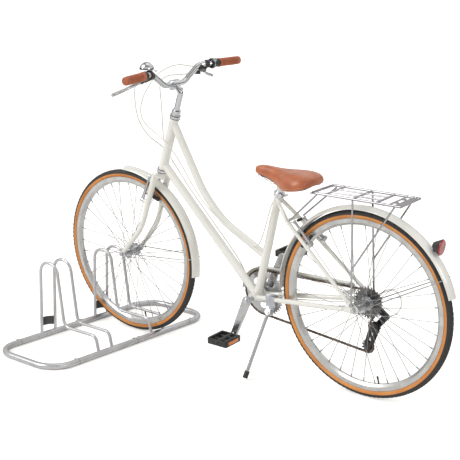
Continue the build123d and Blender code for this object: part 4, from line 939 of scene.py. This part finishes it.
# ---- saddle
@dataclass
class Saddle:
    """Padded saddle: tan cover with a rolled, stitched edge over a black base."""

    seat_angle: float = 75.5
    post_reach: float = 0.478      # crank axle to the top of the seat post
    # along from the post, half width, top, edge and bottom heights over the post's top
    stations: tuple = (
        (-0.1130, 0.0085, 0.0440, 0.0300, 0.0240), (-0.1050, 0.0175, 0.0500, 0.0265, 0.0190),
        (-0.0820, 0.0205, 0.0550, 0.0225, 0.0140), (-0.0420, 0.0235, 0.0530, 0.0150, 0.0060),
        (0.0000, 0.0330, 0.0500, 0.0000, -0.0110), (0.0260, 0.0520, 0.0500, -0.0110, -0.0190),
        (0.0620, 0.0740, 0.0505, -0.0100, -0.0180), (0.1000, 0.0825, 0.0500, -0.0030, -0.0110),
        (0.1280, 0.0780, 0.0455, 0.0030, -0.0050), (0.1430, 0.0620, 0.0390, 0.0075, 0.0000),
        (0.1515, 0.0400, 0.0310, 0.0110, 0.0050))
    stitches: int = 150

    def build(self, shop: Shop) -> None:
        """Make the cover, its stitches and the base, and dress the post."""
        rig, angle = shop.rig, radians(self.seat_angle)
        top = rig.spot("crank_spin", self.post_reach * cos(angle), 0.0,
                       self.post_reach * sin(angle))
        cover = subdivided(self.cover(rig, top), 2)
        shop.deliver(cover, "saddle_post", LEATHER, "saddle")
        shop.deliver(subdivided(self.base(rig, top), 1), "saddle_post", BLACK)
        seam = [top + rig.way(x, side * (half * 0.985), edge + 0.0050)
                for side, run in ((1, self.stations[1:-1]), (-1, self.stations[-2:0:-1]))
                for x, half, _, edge, _ in run]
        stitch = Mesh().block((0.0034, 0.0007, 0.0007), Matrix.Identity(4)).piece("stitch")
        shop.repeat("saddle_stitches", "saddle_post", STITCH, self.smooth(seam), True, stitch,
                    self.stitches, rig.up)
        shop.dress(CHROME, "seatpost", "seat_clamp")

    @staticmethod
    def smooth(points: list[Vector]) -> list[Vector]:
        """Return a closed line through the points, rounded by two corner-cutting passes."""
        for _ in range(2):
            points = [p for a, b in zip(points, points[1:] + points[:1])
                      for p in (a * 0.75 + b * 0.25, a * 0.25 + b * 0.75)]
        return points

    @staticmethod
    def mirrored(half: list[tuple[float, float]]) -> list[tuple[float, float]]:
        """Return a closed section from its right half."""
        return half + [(-share, level) for share, level in half[-2:0:-1]]

    def cover(self, rig: Rig, top: Vector) -> Piece:
        """Return the cover's closed control mesh."""
        shape = self.mirrored([(0.0, 1.00), (0.35, 0.985), (0.66, 0.90), (0.88, 0.66), (1.0, 0.34),
                               (1.0, 0.02), (0.93, -0.10), (0.60, -0.10), (0.0, -0.10)])
        rings = []
        for x, half, high, edge, _ in self.stations:
            dip = 0.0022 if x > 0.02 else 0.0008
            rings.append([top + rig.way(x, half * share, edge + (high - edge) * level
                                        - (dip if share == 0.0 and level > 0.5 else 0.0))
                          for share, level in shape])
        return Mesh().loft(rings).piece("saddle_cover", 180.0)

    def base(self, rig: Rig, top: Vector) -> Piece:
        """Return the black shell under the cover."""
        shape = self.mirrored([(0.0, 0.15), (0.55, 0.15), (0.90, 0.10), (0.97, -0.02),
                               (0.90, -0.55), (0.74, -0.95), (0.62, -1.0), (0.55, -0.60),
                               (0.0, -0.55)])
        rings = [[top + rig.way(x * 0.99, half * share, edge + (edge - low) * level)
                  for share, level in shape] for x, half, _, edge, low in self.stations[1:-1]]
        return Mesh().loft(rings).piece("saddle_base", 180.0)


# ---- handlebar and brakes
@dataclass
class Cockpit:
    """Grips, levers, twist shifter, bell and the dressing of stem, bar and headset."""

    grip_length: float = 0.112
    grip_gap: float = 0.0111
    sleeve: float = 0.0145
    rib: float = 0.0162
    ribs: int = 26
    blade_half: float = 0.0072
    blade_thick: float = 0.0050
    stem_top: float = 0.3462       # above the lower cup, along the steering axis

    def build(self, shop: Shop) -> None:
        """Make the grips and the small controls, and dress the metal."""
        rig = shop.rig
        along = rig.axis("shifter_twist_turn")
        near = rig.spot("shifter_twist_turn") + along * self.grip_gap
        hub = rig.spot("front_wheel_spin")
        self.grip(shop, near, along, "right", "grips")
        self.lever(shop, 1, "right")
        base = near - rig.across * (2 * (near - hub).dot(rig.across))
        way = (along - rig.across * (2 * along.dot(rig.across))).normalized()
        self.grip(shop, base, way, "left")
        self.lever(shop, -1, "left")
        shop.turned("left_grip_collar", "fork", BLACK,
                    [(0, 0.0113), (0, 0.0160), (0.0015, 0.0172), (0.0155, 0.0172),
                     (0.0170, 0.0160), (0.0170, 0.0113)], base - way * 0.0172, way, 40)
        shop.dress(CHROME, "handlebar", "stem", "headset", "bell", "bell_lever")
        shop.dress(BLACK, "lever_brackets", "shifter_twist")
        shop.dress(ALLOY, "brake_lever_left", "brake_lever_right")
        steer = rig.axis("steering")
        shop.turned("stem_bolt", "fork", ZINC,
                    [(0, 0), (0, 0.0062), (0.004, 0.0062), (0.005, 0.0052), (0.005, 0.003),
                     (0.002, 0.003), (0.002, 0)], rig.spot("steering") + steer * self.stem_top,
                    steer, 20)
        shop.deliver(self.headset_seals(rig), "frame", BLACK)
        self.shifter(shop, near, along)

    def grip(self, shop: Shop, base: Vector, way: Vector, name: str, *stands_for: str) -> None:
        """Make one grip: sleeve with a flange, ribs and a ringed end cap."""
        end = self.grip_length
        profile = [(0, 0.0118), (0, 0.0172), (0.003, 0.0176), (0.006, 0.0150),
                   (0.010, self.sleeve), (end - 0.014, self.sleeve + 0.0006),
                   *((end - back, radius) for back, radius in (
                       (0.010, 0.0160), (0.007, 0.0160), (0.006, 0.0150), (0.005, 0.0158),
                       (0.002, 0.0154), (0, 0.0130), (0, 0.0100), (0.0012, 0.0092),
                       (0.0012, 0.0060), (0, 0.0050), (0, 0)))]
        shop.turned(f"{name}_grip_sleeve", "fork", GRIP, profile, base, way, 44,
                    stands_for=stands_for)
        foot, shoulder = self.sleeve - 0.0004, self.rib - 0.0003
        ring = Mesh().lathe([(-0.0013, foot), (-0.0009, shoulder), (0.0, self.rib),
                             (0.0009, shoulder), (0.0013, foot)], Vector((0, 0, 0)),
                            Vector((1, 0, 0)), 32)
        ends = [base + way * 0.014, base + way * (end - 0.018)]
        shop.repeat(f"{name}_grip_ribs", "fork", GRIP, ends, False, ring.piece("rib"), self.ribs,
                    way.orthogonal())

    @staticmethod
    def headset_seals(rig: Rig) -> Piece:
        """Return the dark seals at the edges of the headset's two cups."""
        low, steer = rig.spot("steering"), rig.axis("steering")
        shape = Mesh()
        for height, radius in ((-0.0122, 0.0210), (-0.0012, 0.0210), (0.2231, 0.0200),
                               (0.2345, 0.0200)):
            shape.lathe([(0.0, radius - 0.0010), (0.0, radius + 0.0005), (0.0010, radius + 0.0009),
                         (0.0022, radius + 0.0005), (0.0022, radius - 0.0010)],
                        low + steer * height, steer, 40)
        return shape.piece("headset_seals", 50)

    def lever(self, shop: Shop, side: int, name: str) -> None:
        """Make one lever's flat curved blade and the black hood it turns in."""
        rig = shop.rig
        pivot, turn = rig.spot(f"{name}_brake_lever"), rig.axis(f"{name}_brake_lever")
        reach = rig.way(-0.050, side * 0.110, -0.041)
        blade = reach.normalized()
        out = -turn.cross(blade).normalized()
        knee, tip = pivot + blade * 0.042 + out * 0.014, pivot + reach - blade * 0.004
        start = pivot + blade * 0.009
        rings = []
        for k in range(11):
            t = k / 10
            centre = start * (1 - t) ** 2 + knee * (2 * t * (1 - t)) + tip * t ** 2
            along = ((knee - start) * (1 - t) + (tip - knee) * t).normalized()
            thick = turn.cross(along).normalized() * self.blade_thick
            wide = turn * (self.blade_half * (0.84 + 0.16 * abs(2 * t - 1)))
            rings.append([centre + wide * cos(tau * n / 14) + thick * sin(tau * n / 14)
                          for n in range(14)])
        shop.deliver(Mesh().loft(rings).piece(f"{name}_lever_blade", 60), f"{name}_lever", ALLOY)
        hood = Mesh().block((0.046, 0.021, 0.024),
                            axes_at(pivot - blade * 0.0315, blade, turn.cross(blade)), 0.007)
        shop.deliver(hood.piece(f"{name}_lever_hood"), "fork", BLACK)

    @staticmethod
    def shifter(shop: Shop, near: Vector, along: Vector) -> None:
        """Make the twist shifter's fixed body: black drum, bright band, window and boot."""
        rig = shop.rig
        shop.turned("shifter_drum", "fork", BLACK,
                    [(0, 0.0125), (0, 0.0178), (0.002, 0.0195), (0.013, 0.0200),
                     (0.014, 0.0186), (0.0160, 0.0186), (0.0160, 0.0125)],
                    near - along * 0.0405, along, 48)
        shop.turned("shifter_band", "fork", CHROME,
                    [(0, 0.0192), (0, 0.0208), (0.0032, 0.0208), (0.0032, 0.0192)],
                    near - along * 0.0350, along, 48)
        seat = near - along * 0.0330 + rig.way(0.010, 0, 0.0150)
        window = Mesh().block((0.015, 0.020, 0.014), axes_at(seat, along, rig.up), 0.005)
        shop.deliver(window.piece("gear_window"), "fork", WINDOW)
        shop.turned("shift_cable_boot", "fork", BLACK,
                    [(0, 0), (0, 0.0085), (0.012, 0.0080), (0.034, 0.0048), (0.040, 0.0042),
                     (0.040, 0)], rig.spot("front_wheel_spin", 0.265, 0.170, 0.742),
                    rig.way(-0.054, -0.046, -0.002), 24)


@dataclass
class RimBrake:
    """Rubber shoes, noodle and boot of one pair of brake arms."""

    end: str
    up_angle: float                # direction up the arms, degrees from +X towards +Z
    out_angle: float               # direction out from the stays
    arm_length: float = 0.104
    arm_out: float = 0.022
    pad_offset: float = 0.025
    pad_middle: float = 0.0206

    def build(self, shop: Shop) -> None:
        """Make both shoes, the noodle and the boot, and dress the arms."""
        rig = shop.rig
        up = rig.way(cos(radians(self.up_angle)), 0, sin(radians(self.up_angle)))
        out = rig.way(cos(radians(self.out_angle)), 0, sin(radians(self.out_angle)))
        hub = rig.spot(f"{self.end}_wheel_spin")
        for side, name in ((-1, "left"), (1, "right")):
            pivot = rig.spot(f"{self.end}_{name}_arm_pivot")
            centre = pivot + up * self.pad_offset
            centre += rig.across * (side * self.pad_middle - (centre - hub).dot(rig.across))
            shoe = Mesh().block((0.0635, 0.0118, 0.0115), axes_at(centre, out, rig.across),
                                0.002)
            for k in range(3):
                notch = centre + out * (0.016 * (k - 1)) + rig.across * (side * 0.0002)
                shoe.block((0.0016, 0.0126, 0.0118), axes_at(notch, out, rig.across), 0.0004)
            arm = f"{self.end}_{name}"
            shop.deliver(shoe.piece(f"{arm}_shoe"), f"{arm}_arm", RUBBER)
            shop.turned(f"{arm}_pivot_bolt", f"{arm}_arm", ZINC,
                        [(0, 0), (0, 0.0055), (0.003, 0.0055), (0.0038, 0.0045),
                         (0.0038, 0.0024), (0.002, 0.0024), (0.002, 0)],
                        pivot + out * (self.arm_out + 0.0081), out, 20)
        self.boot(shop, up, out, hub)
        shop.dress(ALLOY, f"{self.end}_brake_arm_left", f"{self.end}_brake_arm_right")

    def boot(self, shop: Shop, up: Vector, out: Vector, hub: Vector) -> None:
        """Make the bright tube through the right arm's top and the ribbed boot beyond it."""
        rig = shop.rig
        top = rig.spot(f"{self.end}_right_arm_pivot") + up * self.arm_length + out * self.arm_out
        top += rig.across * (0.036 - (top - hub).dot(rig.across))
        shop.turned(f"{self.end}_brake_noodle", f"{self.end}_right_arm", CHROME,
                    [(0, 0), (0, 0.0037), (0.004, 0.0037), (0.0042, 0.0029), (0.0190, 0.0029),
                     (0.0192, 0.0036), (0.0220, 0.0036), (0.0220, 0)], top, -rig.across, 20)
        folds = [(0.0019 * k, (0.0034, 0.0056)[k % 2]) for k in range(14)]
        shop.turned(f"{self.end}_brake_boot", f"{self.end}_right_arm", BLACK,
                    [(0, 0), *folds, (0.0267, 0.0024), (0.0267, 0)],
                    top - rig.across * 0.0222, -rig.across, 20, 50)


# ---- frame, carrier, stand, rack
@dataclass
class Chassis:
    """Painted frame tubes, mudguards, carrier, lamp lens and side stand."""

    stand_foot: Triple = (0.063, -0.171, -0.2614)   # from the crank axle

    def build(self, shop: Shop) -> None:
        """Dress the frame and add the small hardware."""
        rig = shop.rig
        shop.dress(CREAM, "head_tube", "top_tube", "down_tube", "seat_tube", "chain_stays",
                   "seat_stays", "rear_mudguard", "front_mudguard", "fork", "chain_guard")
        shop.dress(WIRE, "rear_mudguard_stays", "front_mudguard_stays")
        shop.dress(CARRIER, "carrier")
        shop.dress(BLACK, "rear_reflector")
        shop.dress(RED_LENS, "reflector_lens")
        shop.dress(ZINC, "kickstand_bracket")
        shop.dress(ALLOY, "kickstand")
        shop.dress(HOUSING, "frame_cables", "front_brake_cable")
        shop.deliver(self.stand_boot(rig), "stand_leg", RUBBER)

    def stand_boot(self, rig: Rig) -> Piece:
        """Return the ribbed rubber boot on the side stand's foot."""
        pivot = rig.spot("stand_fold")
        foot = rig.spot("crank_spin", *self.stand_foot)
        down = (foot - pivot).normalized()
        profile = [(0, 0.0082), (0, 0.0092)]
        for k in range(6):
            profile += [(0.004 * k + 0.002, 0.0092), (0.004 * k + 0.004, 0.0098)]
        profile += [(0.0265, 0.0096), (0.0277, 0.0088), (0.0277, 0)]
        return Mesh().lathe([(0, 0), *profile], foot - down * 0.0275, down,
                            24).piece("stand_boot", 50)


@dataclass
class FloorRack:
    """Tubular rack with two pairs of wheel hoops."""

    rails: tuple[float, float] = (-0.762, -0.426)      # places of the two long rails along X
    joint: float = 0.323                           # joints on each side of the middle one
    tube: float = 0.0125
    seam: float = 0.0009

    def build(self, shop: Shop) -> None:
        """Dress the rack's tubes, plates and bolts, and mark the joints of its rails."""
        shape = Mesh()
        for x in self.rails:
            for y in (-self.joint, 0.0, self.joint):
                shape.lathe([(along * self.seam, self.tube + rise) for along, rise in (
                    (-1, -0.0004), (-1, 0.0002), (0, 0.0006), (1, 0.0002), (1, -0.0004))],
                            Vector((x, y, self.tube)), Vector((0, 1, 0)), 40)
        shop.deliver(shape.piece("rail_joint_seams", 50), "rack", PLATE)
        shop.dress(RACK, "rack_base", "wheel_hoops")
        shop.dress(PLATE, "hoop_plates")
        shop.dress(ZINC, "rack_bolts")


# ---- studio
@dataclass
class Studio:
    """Pale floor, soft lights and the camera."""

    azimuth: float = 38.13
    elevation: float = 12.99
    roll: float = 1.18
    place: Triple = (2.3794, -2.9448, 1.4428)
    lens: float = 81.82
    shift: tuple[float, float] = (-0.00813, -0.01278)
    floor_half: float = 14.0
    paper: Triple = (0.90, 0.89, 0.87)
    paper_glow: float = 0.42
    room_strength: float = 0.72
    # height from -1 to 1 as a share, and the room's brightness there
    tones: tuple = ((0.0, 0.55), (0.42, 0.45), (0.49, 0.05), (0.555, 0.07), (0.60, 1.05),
                    (0.80, 1.15), (0.88, 0.16), (1.0, 1.0))
    # name, kind, place, size (an angle for a sun) and energy
    lamps: tuple = (("key", "SUN", (-2.4, -3.4, 4.4), radians(35.0), 1.25),
                    ("top", "SUN", (0.6, 1.6, 4.2), radians(60.0), 0.50),
                    ("box", "AREA", (-2.2, -3.2, 2.4), 1.2, 22.0),
                    ("strip", "AREA", (3.4, -0.6, 1.8), 1.0, 14.0))
    lamp_aim: Triple = (0.0, 0.1, 0.5)

    def build(self) -> None:
        """Make the floor, the lights and the camera."""
        self.floor()
        self.world()
        self.lights()
        self.camera()

    def floor(self) -> None:
        """Make the pale floor, which glows to the camera only."""
        size = self.floor_half
        sheet = Mesh().prism([(-size, -size), (size, -size), (size, size), (-size, size)],
                             -0.02, 0.0, Matrix.Identity(4)).piece("studio_floor")
        material = bpy.data.materials.new("studio_paper")
        material.use_nodes = True
        graph = Graph(material.node_tree)
        seen = graph.add("ShaderNodeLightPath").outputs["Is Camera Ray"]
        graph.fill(material.node_tree.nodes["Principled BSDF"].inputs,
                   Base_Color=(*self.paper, 1.0), Roughness=0.9, Specular_IOR_Level=0.1,
                   Emission_Color=(1.0, 0.985, 0.955, 1.0),
                   Emission_Strength=graph.math("MULTIPLY", seen, self.paper_glow))
        sheet.data.materials.append(material)

    def world(self) -> None:
        """Make the white backdrop and the graded room that bright metal mirrors."""
        scene = bpy.context.scene
        scene.view_settings.view_transform = "Standard"
        scene.view_settings.look = "None"
        scene.world = bpy.data.worlds.new("studio_air")
        scene.world.use_nodes = True
        nodes, graph = scene.world.node_tree.nodes, Graph(scene.world.node_tree)
        facing = graph.add("ShaderNodeTexCoord").outputs["Generated"]
        parts = graph.add("ShaderNodeSeparateXYZ", Vector=facing)
        height = graph.add("ShaderNodeMapRange", Value=parts.outputs["Z"], From_Min=-1.0)
        ramp = graph.add("ShaderNodeValToRGB", Fac=height.outputs["Result"])
        steps = ramp.color_ramp.elements
        while len(steps) < len(self.tones):
            steps.new(0.5)
        for step, (place, tone) in zip(steps, self.tones):
            step.position, step.color = place, (tone, tone * 0.995, tone * 0.98, 1.0)
        room = nodes["Background"]
        graph.fill(room.inputs, Color=ramp.outputs["Color"], Strength=self.room_strength)
        drop = graph.add("ShaderNodeBackground", Color=(1.02, 1.02, 1.015, 1.0))
        mix = graph.add("ShaderNodeMixShader",
                        Fac=graph.add("ShaderNodeLightPath").outputs["Is Camera Ray"])
        graph.feed(mix.inputs[1], room.outputs["Background"])
        graph.feed(mix.inputs[2], drop.outputs["Background"])
        graph.feed(nodes["World Output"].inputs["Surface"], mix.outputs["Shader"])

    def lights(self) -> None:
        """Make the broad key and top light, and two soft boxes for bright metal to mirror."""
        for name, kind, place, size, energy in self.lamps:
            data = bpy.data.lights.new(name, kind)
            data.energy = energy
            setattr(data, "angle" if kind == "SUN" else "size", size)
            lamp = bpy.data.objects.new(name, data)
            lamp.location = place
            aim = Vector(self.lamp_aim) - Vector(place)
            lamp.rotation_mode = "QUATERNION"
            lamp.rotation_quaternion = aim.to_track_quat("-Z", "Y")
            bpy.context.scene.collection.objects.link(lamp)

    def camera(self) -> None:
        """Make the camera from its azimuth, elevation and roll."""
        azimuth, elevation, roll = (radians(v) for v in (self.azimuth, self.elevation, self.roll))
        back = Vector((sin(azimuth) * cos(elevation), -cos(azimuth) * cos(elevation),
                       sin(elevation)))
        level = Vector((cos(azimuth), sin(azimuth), 0.0))
        upright = back.cross(level)
        right = level * cos(roll) + upright * sin(roll)
        up = upright * cos(roll) - level * sin(roll)
        data = bpy.data.cameras.new("camera")
        data.lens, data.sensor_width = self.lens, 36.0
        data.shift_x, data.shift_y = self.shift
        camera = bpy.data.objects.new("camera", data)
        turn = Matrix((right, up, back)).transposed().to_4x4()
        camera.matrix_world = Matrix.Translation(self.place) @ turn
        bpy.context.scene.collection.objects.link(camera)
        bpy.context.scene.camera = camera


def main() -> None:
    """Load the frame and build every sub-assembly."""
    logging.basicConfig(level=logging.INFO, format="%(name)s %(message)s")
    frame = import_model()
    rig = Rig(frame)
    shop = Shop(rig)
    Studio().build()
    assemblies = (FloorRack(), Chassis(), Wheel("front"), Wheel("rear"), Drive(),
                  Pedal(-1, "left"), Pedal(1, "right"), Saddle(), Cockpit(),
                  RimBrake("front", 70.5, 160.5, arm_out=0.032), RimBrake("rear", 138.75, 48.75))
    for assembly in assemblies:
        assembly.build(shop)
        LOG.info("built %s", assembly)


if __name__ == "__main__":
    main()
